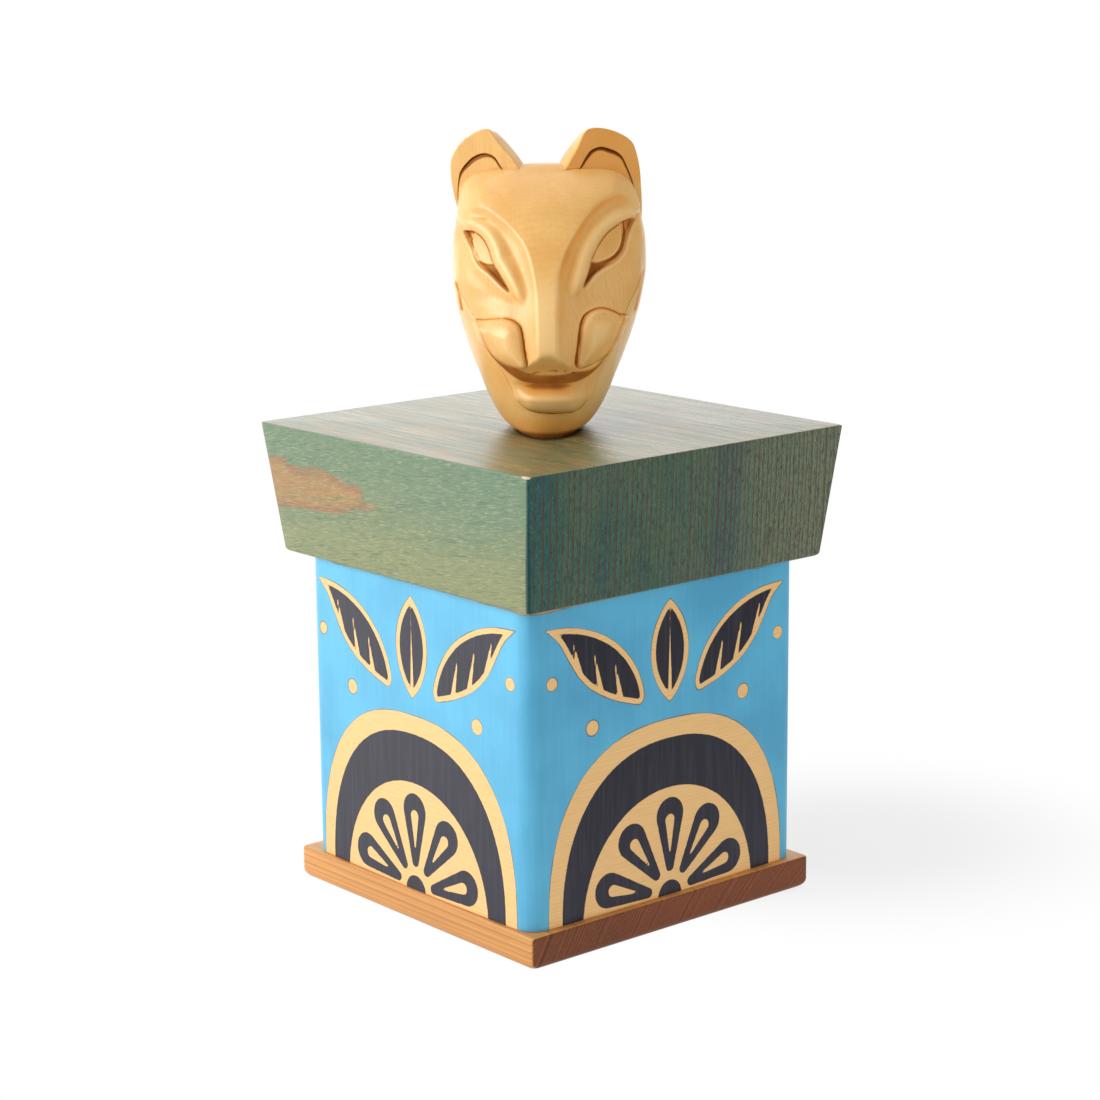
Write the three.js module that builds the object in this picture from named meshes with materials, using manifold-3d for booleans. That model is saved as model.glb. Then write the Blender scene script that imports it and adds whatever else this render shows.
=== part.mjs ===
// A carved wooden box in the Northwest Coast bentwood way: four sides bent from one kerfed plank,
// a pegged base board, a thick lift-off lid with undercut sides, and a carved animal head on top.
// Millimetres, +Z up. The origin is under the middle of the lid, on the surface the box stands on.
import * as THREE from "three";
import { mergeVertices } from "three/addons/utils/BufferGeometryUtils.js";
import Module from "manifold-3d";

const wasm = await Module();
wasm.setup();

// Clearances
const jointGap = 0.3; // between wooden faces that are glued or pegged together
const pegClearance = 0.3; // round each peg and the dowel
const seatGap = 0.3; // under the lid where it rests on the rim
const plugClearance = 1.2; // on each side, between the lid's plug and the walls

// Base board
const baseX = 143;
const baseY = 145;
const baseThickness = 13;
const baseBottomRound = 3.5;
const baseTopRound = 0.8;
const baseCornerRound = 1.5;
const plateauHeight = 4; // the raised middle that the walls stand around

// Sides, one bent plank
const sidesX = 139;
const sidesY = 137;
const sidesHeight = 121.9;
const sidesCentreX = -1; // the walls stand a little towards the front corner
const sidesCentreY = -1.5;
const wallThickness = 9.5;
const bendRadius = 8.5;
const bendWall = 3.2; // wood left outside each kerf
const sideBow = 0.8; // how far each side swells between its corners
const kerfSlot = 0.7;
const kerfHollow = 1.2; // thickness of the undercut at the bottom of the kerf
const kerfHollowAngle = 34; // degrees each way from the corner's diagonal
const lapThickness = 3.5; // the tongue that covers the plank's other end at the fourth corner
const lapCornerRound = 1.5;

// Pegs
const pegDiameter = 4;
const pegRecess = 0.3; // how far a peg's end lies below the face it is driven into
const cornerPegCount = 5;
const cornerPegLength = 18;
const cornerPegMargin = 14; // from the plank's edges to the first and last peg
const basePegsPerSide = 2;
const basePegSpacing = 80;
const basePegIntoWall = 12;

// Lid
const lidTopX = 160;
const lidTopY = 161;
const lidBottomX = 148;
const lidBottomY = 149.5;
const lidThickness = 51.6;
const lidPlaned = 1.6; // the -X face leans in less at the front corner, where more was planed off
const lidTopRound = 0.7;
const lidBottomRound = 1.6;
const lidCornerRound = 1.2;
const plugDepth = 6;
const plugRound = 2;
const plugChamfer = 1;

// Dowel between the lid and the head
const dowelDiameter = 8;
const dowelInLid = 22;
const dowelInHead = 24;
const dowelForward = 8; // from the head's own axis

// Head. Its outlines below are drawn at its real size and stretch with these three
const headWidth = 73.8;
const headHeight = 100.3; // to the crown, without the ears
const headDepth = 69.5; // without the nose
const headFacing = 41; // degrees from the lid's -Y side round to its -X side
const headForward = 4; // from the middle of the lid to the head's axis
const headColumnsFront = 58;
const headColumnsBack = 18;
const headRowsBelow = 46;
const headRowsCrown = 12;

// Colours
const paintedWood = new THREE.MeshStandardMaterial({ color: 0x3fa4d8, roughness: 0.6 });
const cedar = new THREE.MeshStandardMaterial({ color: 0xa9673a, roughness: 0.5 });
const stainedWood = new THREE.MeshStandardMaterial({ color: 0x4f7460, roughness: 0.55 });
const yellowWood = new THREE.MeshStandardMaterial({ color: 0xd9a65a, roughness: 0.35 });
const pegWood = new THREE.MeshStandardMaterial({ color: 0xc79b62, roughness: 0.6 });

// Levels and places that follow from the sizes above
const sidesTop = baseThickness + sidesHeight;
const lidBottom = sidesTop + seatGap;
const lidTop = lidBottom + lidThickness;
const innerHalfX = sidesX / 2 - wallThickness;
const innerHalfY = sidesY / 2 - wallThickness;
const up = new THREE.Vector3(0, 0, 1);
const towardsLeft = new THREE.Vector3(-1, 0, 0);
const { clamp, smoothstep, degToRad } = THREE.MathUtils;

// Solid from a closed geometry
function solidFrom(geometry) {
  const bare = geometry.clone();
  for (const name of Object.keys(bare.attributes)) {
    if (name !== "position") bare.deleteAttribute(name);
  }
  const merged = mergeVertices(bare, 1e-4);
  const vertProperties = new Float32Array(merged.attributes.position.array);
  const triVerts = new Uint32Array(merged.index.array);
  return new wasm.Manifold(new wasm.Mesh({ numProp: 3, vertProperties, triVerts }));
}

// Named mesh from a solid
function meshFrom(name, solid, material) {
  const made = solid.getMesh();
  const indexed = new THREE.BufferGeometry();
  indexed.setAttribute("position", new THREE.BufferAttribute(made.vertProperties, made.numProp));
  indexed.setIndex(new THREE.BufferAttribute(made.triVerts, 1));
  const geometry = indexed.toNonIndexed();
  geometry.computeVertexNormals();
  const mesh = new THREE.Mesh(geometry, material);
  mesh.name = name;
  return mesh;
}

// Closed skin over a stack of rings with as many points each, anticlockwise seen from the end
// of the stack, and a fan over the first and the last ring
function skinOf(rings) {
  const count = rings[0].length;
  const positions = rings.flat().flatMap((point) => point.toArray());
  const index = [];
  for (let ring = 0; ring + 1 < rings.length; ring += 1) {
    for (let j = 0; j < count; j += 1) {
      const a = ring * count + j;
      const b = ring * count + ((j + 1) % count);
      index.push(a, b, b + count, a, b + count, a + count);
    }
  }
  for (const ring of [0, rings.length - 1]) {
    const middle = new THREE.Vector3();
    for (const point of rings[ring]) middle.addScaledVector(point, 1 / count);
    const tip = positions.push(...middle.toArray()) / 3 - 1;
    for (let j = 0; j < count; j += 1) {
      const a = ring * count + j;
      const b = ring * count + ((j + 1) % count);
      index.push(...(ring === 0 ? [b, a, tip] : [a, b, tip]));
    }
  }
  const geometry = new THREE.BufferGeometry();
  geometry.setAttribute("position", new THREE.Float32BufferAttribute(positions, 3));
  geometry.setIndex(index);
  return solidFrom(geometry);
}

// Ring of a rounded rectangle at one level
function rectangleRing(halfX, halfY, round, z, centreX = 0, centreY = 0) {
  const steps = 4;
  const ring = [];
  for (let corner = 0; corner < 4; corner += 1) {
    const signX = corner === 0 || corner === 3 ? 1 : -1;
    const signY = corner < 2 ? 1 : -1;
    for (let i = 0; i <= steps; i += 1) {
      const angle = ((corner + i / steps) * Math.PI) / 2;
      const x = signX * (halfX - round) + round * Math.cos(angle);
      const y = signY * (halfY - round) + round * Math.sin(angle);
      ring.push(new THREE.Vector3(centreX + x, centreY + y, z));
    }
  }
  return ring;
}

// Block with straight sloping sides and rounded edges, between a bottom and a top size
function roundedBlock({ bottom, top, z0, z1, bottomRound, topRound, cornerRound }) {
  const steps = 4;
  const ringAt = (z, inset) => {
    const share = (z - z0) / (z1 - z0);
    const half = [0, 1].map((axis) => THREE.MathUtils.lerp(bottom[axis], top[axis], share) / 2);
    return rectangleRing(half[0] - inset, half[1] - inset, cornerRound + inset / 2, z);
  };
  const quarter = (round, i) => {
    const angle = (i / steps) * (Math.PI / 2);
    return { rise: round * (1 - Math.cos(angle)), inset: round * (1 - Math.sin(angle)) };
  };
  const rings = [];
  for (let i = 0; i <= steps; i += 1) {
    const { rise, inset } = quarter(bottomRound, i);
    rings.push(ringAt(z0 + rise, inset));
  }
  for (let i = steps; i >= 0; i -= 1) {
    const { rise, inset } = quarter(topRound, i);
    rings.push(ringAt(z1 - rise, inset));
  }
  return skinOf(rings);
}

// Round bar from a start point along a direction
function roundBar(diameter, length, start, direction) {
  const bar = new THREE.CylinderGeometry(diameter / 2, diameter / 2, length, 16);
  bar.translate(0, length / 2, 0);
  bar.applyQuaternion(new THREE.Quaternion().setFromUnitVectors(new THREE.Vector3(0, 1, 0), direction));
  bar.translate(start.x, start.y, start.z);
  return solidFrom(bar);
}

// Corner pegs lie along X, through the tongue into the end of the +Y wall
function cornerPegStart(i) {
  const first = baseThickness + cornerPegMargin;
  const last = sidesTop - cornerPegMargin;
  const z = THREE.MathUtils.lerp(first, last, i / (cornerPegCount - 1));
  const x = sidesCentreX + sidesX / 2 - sideBow - pegRecess;
  return new THREE.Vector3(x, sidesCentreY + innerHalfY + wallThickness / 2, z);
}

function cornerPeg(i) {
  return roundBar(pegDiameter, cornerPegLength, cornerPegStart(i), towardsLeft);
}

function cornerPegHole(i) {
  const outside = 2;
  const start = cornerPegStart(i).addScaledVector(towardsLeft, -outside);
  const length = outside + cornerPegLength + pegClearance;
  return roundBar(pegDiameter + 2 * pegClearance, length, start, towardsLeft);
}

// Base pegs stand under the middle of each wall's thickness
function basePegStart(side, i) {
  const along = basePegSpacing * (i / (basePegsPerSide - 1) - 0.5);
  const acrossX = innerHalfX + wallThickness / 2;
  const acrossY = innerHalfY + wallThickness / 2;
  const x = [acrossX, along, -acrossX, along][side];
  const y = [along, acrossY, along, -acrossY][side];
  return new THREE.Vector3(sidesCentreX + x, sidesCentreY + y, pegRecess);
}

function basePeg(side, i) {
  const length = baseThickness + basePegIntoWall - pegRecess;
  return roundBar(pegDiameter, length, basePegStart(side, i), up);
}

function basePegHole(side, i) {
  const below = 2;
  const start = basePegStart(side, i).addScaledVector(up, -below);
  const length = below + baseThickness + basePegIntoWall - pegRecess + pegClearance;
  return roundBar(pegDiameter + 2 * pegClearance, length, start, up);
}

function eachBasePeg(visit) {
  for (let side = 0; side < 4; side += 1) {
    for (let i = 0; i < basePegsPerSide; i += 1) visit(side, i);
  }
}

// Base board: a plank with a raised middle that fits inside the walls
function baseBoard() {
  const size = [baseX, baseY];
  let board = roundedBlock({
    bottom: size,
    top: size,
    z0: 0,
    z1: baseThickness,
    bottomRound: baseBottomRound,
    topRound: baseTopRound,
    cornerRound: baseCornerRound,
  });
  const plateau = [baseThickness / 2, baseThickness + plateauHeight].map((z) =>
    rectangleRing(innerHalfX - jointGap, innerHalfY - jointGap, 1, z, sidesCentreX, sidesCentreY),
  );
  board = board.add(skinOf(plateau));
  eachBasePeg((side, i) => {
    board = board.subtract(basePegHole(side, i));
  });
  return board;
}

// Points of one kerf seen from above, for an inside corner that is walked clockwise: a saw slot
// from the inner corner out to an undercut that follows the bend
function kerfPoints(cornerX, cornerY, bendX, bendY) {
  const diagonal = Math.atan2(cornerY, cornerX);
  const outer = bendRadius - bendWall;
  const inner = outer - kerfHollow;
  const reach = degToRad(kerfHollowAngle);
  const slot = Math.asin(kerfSlot / 2 / inner);
  const at = (radius, angle) => [
    bendX + radius * Math.cos(diagonal + angle),
    bendY + radius * Math.sin(diagonal + angle),
  ];
  const mouth = kerfSlot / Math.SQRT2;
  const arriving = [cornerX, cornerY];
  const leaving = [cornerX, cornerY];
  const alongY = cornerX * cornerY < 0;
  arriving[alongY ? 1 : 0] -= mouth * Math.sign(alongY ? cornerY : cornerX);
  leaving[alongY ? 0 : 1] -= mouth * Math.sign(alongY ? cornerX : cornerY);
  const steps = 6;
  const arc = [];
  for (let i = 0; i <= steps; i += 1) arc.push(at(outer, reach * (1 - (2 * i) / steps)));
  return [arriving, at(inner, slot), at(inner, reach), ...arc, at(inner, -reach), at(inner, -slot), leaving];
}

// Section of the bent plank: outside anticlockwise from the end of the +Y wall, then inside
function plankSection() {
  const halfX = sidesX / 2;
  const halfY = sidesY / 2;
  const edgeX = halfX - sideBow;
  const edgeY = halfY - sideBow;
  const bendX = edgeX - bendRadius;
  const bendY = edgeY - bendRadius;
  const lapX = edgeX - lapThickness;
  const half = Math.PI / 2;
  const section = new THREE.Shape();
  section.moveTo(lapX - jointGap, edgeY);
  section.quadraticCurveTo(0, halfY + sideBow, -bendX, edgeY);
  section.absarc(-bendX, bendY, bendRadius, half, 2 * half, false);
  section.quadraticCurveTo(-halfX - sideBow, 0, -edgeX, -bendY);
  section.absarc(-bendX, -bendY, bendRadius, 2 * half, 3 * half, false);
  section.quadraticCurveTo(0, -halfY - sideBow, bendX, -edgeY);
  section.absarc(bendX, -bendY, bendRadius, 3 * half, 4 * half, false);
  section.quadraticCurveTo(halfX + sideBow, 0, edgeX, edgeY - lapCornerRound);
  section.absarc(edgeX - lapCornerRound, edgeY - lapCornerRound, lapCornerRound, 0, half, false);
  section.lineTo(lapX, edgeY);
  section.lineTo(lapX, innerHalfY - jointGap);
  section.lineTo(innerHalfX, innerHalfY - jointGap);
  for (const [signX, signY] of [[1, -1], [-1, -1], [-1, 1]]) {
    const corner = [signX * innerHalfX, signY * innerHalfY];
    for (const point of kerfPoints(...corner, signX * bendX, signY * bendY)) section.lineTo(...point);
  }
  section.lineTo(lapX - jointGap, innerHalfY);
  section.closePath();
  return section;
}

function sidePlank() {
  const bent = new THREE.ExtrudeGeometry(plankSection(), {
    depth: sidesHeight,
    bevelEnabled: false,
    curveSegments: 10,
  });
  bent.translate(sidesCentreX, sidesCentreY, baseThickness);
  let plank = solidFrom(bent);
  for (let i = 0; i < cornerPegCount; i += 1) plank = plank.subtract(cornerPegHole(i));
  eachBasePeg((side, i) => {
    plank = plank.subtract(basePegHole(side, i));
  });
  return plank;
}

// Place of the head: across is the viewer's right when one looks the head in the face
const facing = degToRad(headFacing);
const across = new THREE.Vector3(Math.cos(facing), -Math.sin(facing), 0);
const forward = new THREE.Vector3(-Math.sin(facing), -Math.cos(facing), 0);

function headPoint(u, v, w) {
  return new THREE.Vector3(0, 0, lidTop + (w * headHeight) / drawnHead.height)
    .addScaledVector(across, (u * headWidth) / drawnHead.width)
    .addScaledVector(forward, headForward + (v * headDepth) / drawnHead.depth);
}

// Hand-planed -X face: it moves in towards its front top corner
function planeFrontCorner(point) {
  const height = THREE.MathUtils.clamp((point[2] - lidBottom) / lidThickness, 0, 1);
  const front = THREE.MathUtils.clamp(0.5 - point[1] / lidTopY, 0, 1);
  const side = THREE.MathUtils.clamp((-2 * point[0]) / lidTopX, 0, 1);
  point[0] += lidPlaned * height * front * side;
}

// Lid: a thick block whose sides slope in downwards, with a plug that drops inside the walls
function lid() {
  let block = roundedBlock({
    bottom: [lidBottomX, lidBottomY],
    top: [lidTopX, lidTopY],
    z0: lidBottom,
    z1: lidTop,
    bottomRound: lidBottomRound,
    topRound: lidTopRound,
    cornerRound: lidCornerRound,
  });
  block = block.warp(planeFrontCorner);
  const plugX = innerHalfX - plugClearance;
  const plugY = innerHalfY - plugClearance;
  const plugRing = (z, inset) =>
    rectangleRing(plugX - inset, plugY - inset, plugRound, z, sidesCentreX, sidesCentreY);
  const plugBottom = lidBottom - plugDepth;
  const plug = [
    plugRing(plugBottom, plugChamfer),
    plugRing(plugBottom + plugChamfer, 0),
    plugRing(lidBottom + lidThickness / 4, 0),
  ];
  block = block.add(skinOf(plug));
  return block.subtract(dowelHole());
}

function dowelStart() {
  const start = headPoint(0, dowelForward, 0);
  start.z = lidTop - dowelInLid;
  return start;
}

function headDowel() {
  return roundBar(dowelDiameter, dowelInLid + dowelInHead, dowelStart(), up);
}

function dowelHole() {
  const start = dowelStart().addScaledVector(up, -pegClearance);
  const length = dowelInLid + dowelInHead + 2 * pegClearance;
  return roundBar(dowelDiameter + 2 * pegClearance, length, start, up);
}

// Smooth curve through points [x, y] that never swings past them
function curveThrough(points) {
  const steep = points.slice(1).map(([x, y], i) => (y - points[i][1]) / (x - points[i][0]));
  const slopes = points.map((_, i) => {
    if (i === 0) return steep[0];
    if (i === points.length - 1) return steep[i - 1];
    const [a, b] = [steep[i - 1], steep[i]];
    return a * b <= 0 ? 0 : (2 * a * b) / (a + b);
  });
  return (x) => {
    let i = points.findIndex((point) => x < point[0]) - 1;
    if (i === -2) i = points.length - 2;
    i = Math.max(i, 0);
    const span = points[i + 1][0] - points[i][0];
    const t = clamp((x - points[i][0]) / span, 0, 1);
    const rise = points[i + 1][1] - points[i][1];
    const start = slopes[i] * span;
    const end = slopes[i + 1] * span;
    return points[i][1] + t * (start + t * (3 * rise - 2 * start - end + t * (start + end - 2 * rise)));
  };
}

// The head's plain form, level by level from the chin's seat at 0 up to the crown
const halfWidthKnots = [
  [0, 12.4], [3, 16.7], [8, 20.4], [14, 23.4], [20, 25.8], [30, 29.7], [40, 33], [50, 35.5], [62, 36.9],
  [72, 36.6], [80, 35.2], [86, 34.3], [100.3, 33.5],
];
const frontKnots = [
  [0, 28.4], [3, 29.8], [8, 31.7], [15, 33.5], [25, 35], [35, 35.5], [45, 34], [55, 31.5], [65, 29],
  [75, 26], [82, 22.8], [88, 19.4], [93, 16.1], [100.3, 10.5],
];
const backKnots = [
  [0, -12], [3, -17], [8, -21], [15, -25], [25, -29.5], [40, -33], [60, -34], [78, -32], [86, -28.6],
  [92, -25.2], [100.3, -20],
];
// The carver's hand: the head leans a little to one side and back again
const leanKnots = [[0, -0.4], [25, -0.2], [48, 0.2], [66, 0.7], [80, 0.6], [100.3, 0]];
const crownStart = 80;
const crownWidthPower = 4.5; // how late the crown draws in, to the sides and front to back
const crownDepthPower = 2.8;
const middleV = -2; // the depth that front and back are measured from
const sectionPower = 2.15; // 2 is an ellipse, more is squarer

const halfWidthAt = curveThrough(halfWidthKnots);
const frontAt = curveThrough(frontKnots);
const backAt = curveThrough(backKnots);
const leanAt = curveThrough(leanKnots);
const furthest = (knots) => Math.max(...knots.map(([, reach]) => Math.abs(reach)));
const drawnHead = {
  width: 2 * furthest(halfWidthKnots),
  height: halfWidthKnots.at(-1)[0],
  depth: furthest(frontKnots) + furthest(backKnots),
};

function crownShare(w, power) {
  const t = clamp((w - crownStart) / (drawnHead.height - crownStart), 0, 1);
  return Math.sqrt(1 - Math.pow(t, power));
}

// Round line through points
function lineThrough(points, perSpan = 3) {
  const spline = new THREE.CatmullRomCurve3(points.map(([x, y]) => new THREE.Vector3(x, y, 0)));
  return spline.getPoints((points.length - 1) * perSpan).map((p) => [p.x, p.y]);
}

// Distance to a closed outline, above zero inside it
function depthInside(outline, x, y) {
  let nearest = Infinity;
  let inside = false;
  for (let i = 0, j = outline.length - 1; i < outline.length; j = i, i += 1) {
    const [ax, ay] = outline[j];
    const [bx, by] = outline[i];
    const [dx, dy] = [bx - ax, by - ay];
    const t = clamp(((x - ax) * dx + (y - ay) * dy) / Math.max(dx * dx + dy * dy, 1e-9), 0, 1);
    nearest = Math.min(nearest, Math.hypot(x - ax - t * dx, y - ay - t * dy));
    if (ay > y !== by > y && x < ax + ((y - ay) / (by - ay)) * (bx - ax)) inside = !inside;
  }
  return inside ? nearest : -nearest;
}

// Carving, each outline in the head's own across and up directions.
// Forehead and nose stand out as one T-shaped plane; its edges run from the brows down the nose
const foreheadPlane = [
  ...lineThrough([
    [-3.4, 25], [-3.4, 35], [-3.3, 46], [-3.9, 57], [-6.3, 68.2], [-9, 74], [-13.1, 78.6], [-18.7, 82.7],
    [-22.6, 84.9], [-27.2, 85.3], [-33, 80.7], [-40, 79],
  ]),
  [-40, 112],
  [40, 112],
  ...lineThrough([
    [40, 90], [29.5, 90], [20.5, 87.7], [15.5, 83.5], [11.6, 78.5], [7.2, 71], [4.6, 63.5], [4, 53],
    [3.9, 40], [4.2, 25],
  ]),
];
// Everything above the line of the mouth and jaw
const aboveMouth = [
  ...lineThrough([
    [40, 63], [36.4, 60.6], [33.2, 53.9], [30.5, 49.1], [28.7, 44.8], [24.5, 35.5], [21.1, 30.2],
    [18.2, 26.4], [14.2, 23.6], [7.7, 21.7], [0.4, 21.4], [-6.4, 21.9], [-10.4, 23.1], [-14.6, 25.6],
    [-18.3, 29], [-22.2, 34.2], [-26.2, 44.2], [-28.6, 47.1], [-31.8, 52.2], [-34.5, 56.2], [-40, 63],
  ]),
  [-40, 112],
  [40, 112],
];
const muzzlePads = [
  [
    [-26.3, 44.2], [-24, 44.5], [-19.3, 45.4], [-15.3, 45.8], [-12.5, 45.2], [-10.3, 43.4], [-9.5, 40.9],
    [-8.8, 35.7], [-8.2, 28], [-13.1, 28.2], [-16.9, 30.2], [-20.6, 34], [-24.1, 38.2],
  ],
  [
    [28.7, 44.3], [25.3, 46.8], [21.1, 48.8], [18.5, 49], [15.9, 48.1], [14.4, 46.7], [13.2, 43.5],
    [12.5, 38], [11.7, 28], [15.8, 28.5], [19.9, 31.1], [22.6, 33.8], [25.3, 36.8], [27.2, 41.9],
  ],
];
const eyeHollows = [
  lineThrough([
    [-31.5, 76.2], [-27.2, 76.6], [-23.7, 74.3], [-21.4, 70.4], [-19.9, 66.1], [-16.9, 61.5],
    [-13.9, 55.5], [-18.8, 59.4], [-21.8, 61.9], [-24.9, 63.9], [-26.9, 66.6], [-28.1, 70],
    [-29.6, 73.1], [-31.5, 76.2],
  ]),
  lineThrough([
    [33.3, 79.9], [30.1, 80.2], [27, 79.1], [22.4, 76.2], [19.4, 72.5], [16.8, 67.6], [15.8, 64.2],
    [13.7, 57], [17.8, 61.5], [22, 63.8], [25.4, 65.4], [27.7, 67.4], [29.2, 69.8], [30, 73.3],
    [31.2, 76.6], [33.3, 79.9],
  ]),
];
const eyeCorners = [
  [[-31.5, 76.2], [-13.9, 55.5]],
  [[33.3, 79.9], [13.7, 57]],
];
const eyeballs = [
  [
    [-27.4, 75.4], [-27.4, 70.7], [-26, 67], [-23.8, 65.4], [-19.6, 65.2], [-18.6, 68], [-20.5, 74],
    [-25, 78],
  ],
  [
    [28, 80.5], [28.2, 74.5], [27.3, 70.3], [25, 67.6], [22.4, 66.4], [17.2, 65.6], [15.5, 68],
    [19, 76], [24, 81],
  ],
];
const lowerLip = [
  [-20.5, 32], [-15.5, 23.3], [-12.7, 18], [-10.7, 14.3], [-7.9, 11.6], [-2.6, 10.4], [1.5, 10.1],
  [5.6, 10], [9.6, 10.1], [12.1, 11.7], [14.2, 14.4], [16.7, 18.8], [19.6, 25.9], [22.5, 32],
];
const cheekHollows = [[-20, 52.5], [19.5, 55]];

// Heights and widths of the carving, out from the plain form
const noseRise = 3.4;
const browRise = 2.6;
const noseTipRise = 3.4;
const noseBevel = 6.6;
const browBevel = 5.4;
const browHollow = 1.5;
const muzzleRise = 4.4;
const cheekRise = 1.9;
const padRise = 2;
const eyeDepth = 2.2;
const eyeballRise = 1.6;
const upperLidRise = 1.6;
const cheekHollow = 0.8;
const lowerLipRise = 1.9;
const lowerLipSwell = 1.2;
const mouthDepth = 1.3;

// Bell of height 1
const hump = (distance, width) => Math.exp(-((distance / width) ** 2));

// From 0 below the line through an eye's corners to 1 above it
function aboveEye(u, w, [[outerU, outerW], [innerU, innerW]]) {
  const line = outerW + ((u - outerU) * (innerW - outerW)) / (innerU - outerU);
  return clamp((w - line) / 4, 0, 1);
}

function carving(u, w) {
  const { lerp } = THREE.MathUtils;
  const side = Math.abs(u);
  // Forehead and nose, with a wide facet outside their edge and a hollow round the temple
  const inForehead = depthInside(foreheadPlane, u, w);
  const bevel = lerp(noseBevel, browBevel, smoothstep(w, 55, 75));
  const plane = clamp(1 + inForehead / bevel, 0, 1) ** 1.2;
  const height = lerp(noseRise, browRise, smoothstep(w, 66, 82)) + noseTipRise * (1 - smoothstep(w, 34, 62));
  const underNose = smoothstep(w, 26.6, Math.max(32.6 - 0.07 * (u - 0.5) ** 2, 29.2));
  let rise = plane * (1 - smoothstep(side, 24, 34)) * underNose * height;
  const temple = smoothstep(side, 19, 26) * (1 - smoothstep(side, 33, 36)) * smoothstep(w, 70, 77);
  rise -= browHollow * hump(inForehead + 3.4, 2.6) * temple;
  // Muzzle and cheeks over the jaw, with the lip's edge sloping back under the nose
  const lipWidth = lerp(4.8, 1.2, smoothstep(side, 9, 20));
  const overJaw = smoothstep(depthInside(aboveMouth, u, w), -0.2, lipWidth);
  const muzzle = lerp(muzzleRise, cheekRise, smoothstep(side, 11, 27));
  rise += overJaw * muzzle * (1 - smoothstep(side, 33, 37)) * (1 - smoothstep(w, 54, 80));
  const inPad = Math.max(...muzzlePads.map((pad) => depthInside(pad, u, w)));
  rise += padRise * Math.sqrt(smoothstep(inPad, -0.2, 6.5));
  // Eyes: a hollow with a ball in it and a rolled lid above
  eyeHollows.forEach((hollow, i) => {
    const inEye = depthInside(hollow, u, w);
    rise -= eyeDepth * smoothstep(inEye, -0.3, 1);
    rise += eyeballRise * smoothstep(depthInside(eyeballs[i], u, w), -0.2, 0.8) * smoothstep(inEye, -0.1, 1);
    rise += upperLidRise * hump(inEye + 3.1, 2.7) * aboveEye(u, w, eyeCorners[i]);
  });
  for (const [x, y] of cheekHollows) rise -= cheekHollow * hump(Math.hypot((u - x) / 1.6, w - y), 3.6);
  // Lower lip, and the mouth's hollow above it
  const lip = smoothstep(depthInside(lowerLip, u, w), -0.4, 0.7) * (1 - overJaw);
  rise += lip * (lowerLipRise + lowerLipSwell * hump(w - 13.5, 3.2));
  rise -= mouthDepth * hump(w - 19.8, 1.6) * (1 - smoothstep(side, 7, 14));
  return rise;
}

// Point of the carved head at a level and an angle round it, 0 in front and a quarter turn at
// the viewer's right
function headSurface(w, angle) {
  const halfWidth = halfWidthAt(w) * crownShare(w, crownWidthPower);
  const inFront = Math.cos(angle) >= 0;
  const depth = ((inFront ? frontAt(w) : backAt(w)) - middleV) * crownShare(w, crownDepthPower);
  const round = (value) => Math.sign(value) * Math.abs(value) ** (2 / sectionPower);
  const u = leanAt(w) + halfWidth * round(Math.sin(angle));
  const v = middleV + depth * Math.abs(round(Math.cos(angle)));
  const outU = Math.sin(angle) / Math.max(halfWidth, 1);
  const outV = Math.cos(angle) / Math.max(Math.abs(depth), 1);
  const length = Math.hypot(outU, outV);
  const rise = inFront ? carving(u, w) * smoothstep(Math.cos(angle), 0.02, 0.2) : 0;
  return headPoint(u + (rise * outU) / length, v + (rise * outV) / length, w);
}

// Ears: plates whose front faces turn outwards, with a bevelled inner side, a smaller rounded
// back and a V-shaped line cut into the front, given by its outer and its inner edge
const earFront = 10.3; // the plane of both fronts over the head's axis
const earTurn = 0.33; // how far it falls back for each millimetre outwards
const earThickness = 11.5;
const earCutDepth = 2;
const earFronts = [
  [
    [-33, 79], [-34.2, 83.6], [-35.4, 88.1], [-36.5, 95.2], [-36.6, 100.5], [-35.7, 103.6], [-32.8, 108],
    [-27.8, 111.9], [-24.2, 113.4], [-22, 113.5], [-17.9, 108.2], [-12.8, 102.5], [-9.1, 96.3], [-11, 90],
    [-22, 84],
  ],
  [
    [36, 78], [36.1, 84.9], [35.7, 92.6], [35.3, 97.7], [34.3, 103], [32.8, 107.4], [31.3, 109.2],
    [28.2, 111.2], [24.4, 112.8], [20.3, 113.7], [17.6, 113.8], [15.6, 113.3], [14.4, 112.2],
    [11.7, 106.5], [7.9, 99.9], [5.3, 95.4], [9, 90], [22, 84],
  ],
];
const earBacks = [
  [
    [-31.5, 79], [-32.6, 83.6], [-33.8, 88.1], [-34.8, 94.5], [-34.8, 99.5], [-33.9, 102.6], [-31, 106.8],
    [-26.5, 110.3], [-22.4, 111.9], [-18.8, 111.6], [-13, 106.7], [-8.5, 100.7], [-6, 96], [-8.5, 90],
    [-21, 84],
  ],
  [
    [33.5, 78], [33.8, 84.9], [33.8, 91.8], [33.5, 96.5], [32.5, 101.5], [31, 105.6], [29.5, 107.4],
    [26.2, 109.6], [22.8, 111.2], [19.5, 112.2], [17, 112.6], [14.2, 112.2], [12.2, 111],
    [8.2, 107.3], [4.2, 101.7], [1.5, 96.5], [5, 90], [20.5, 84],
  ],
];
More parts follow.
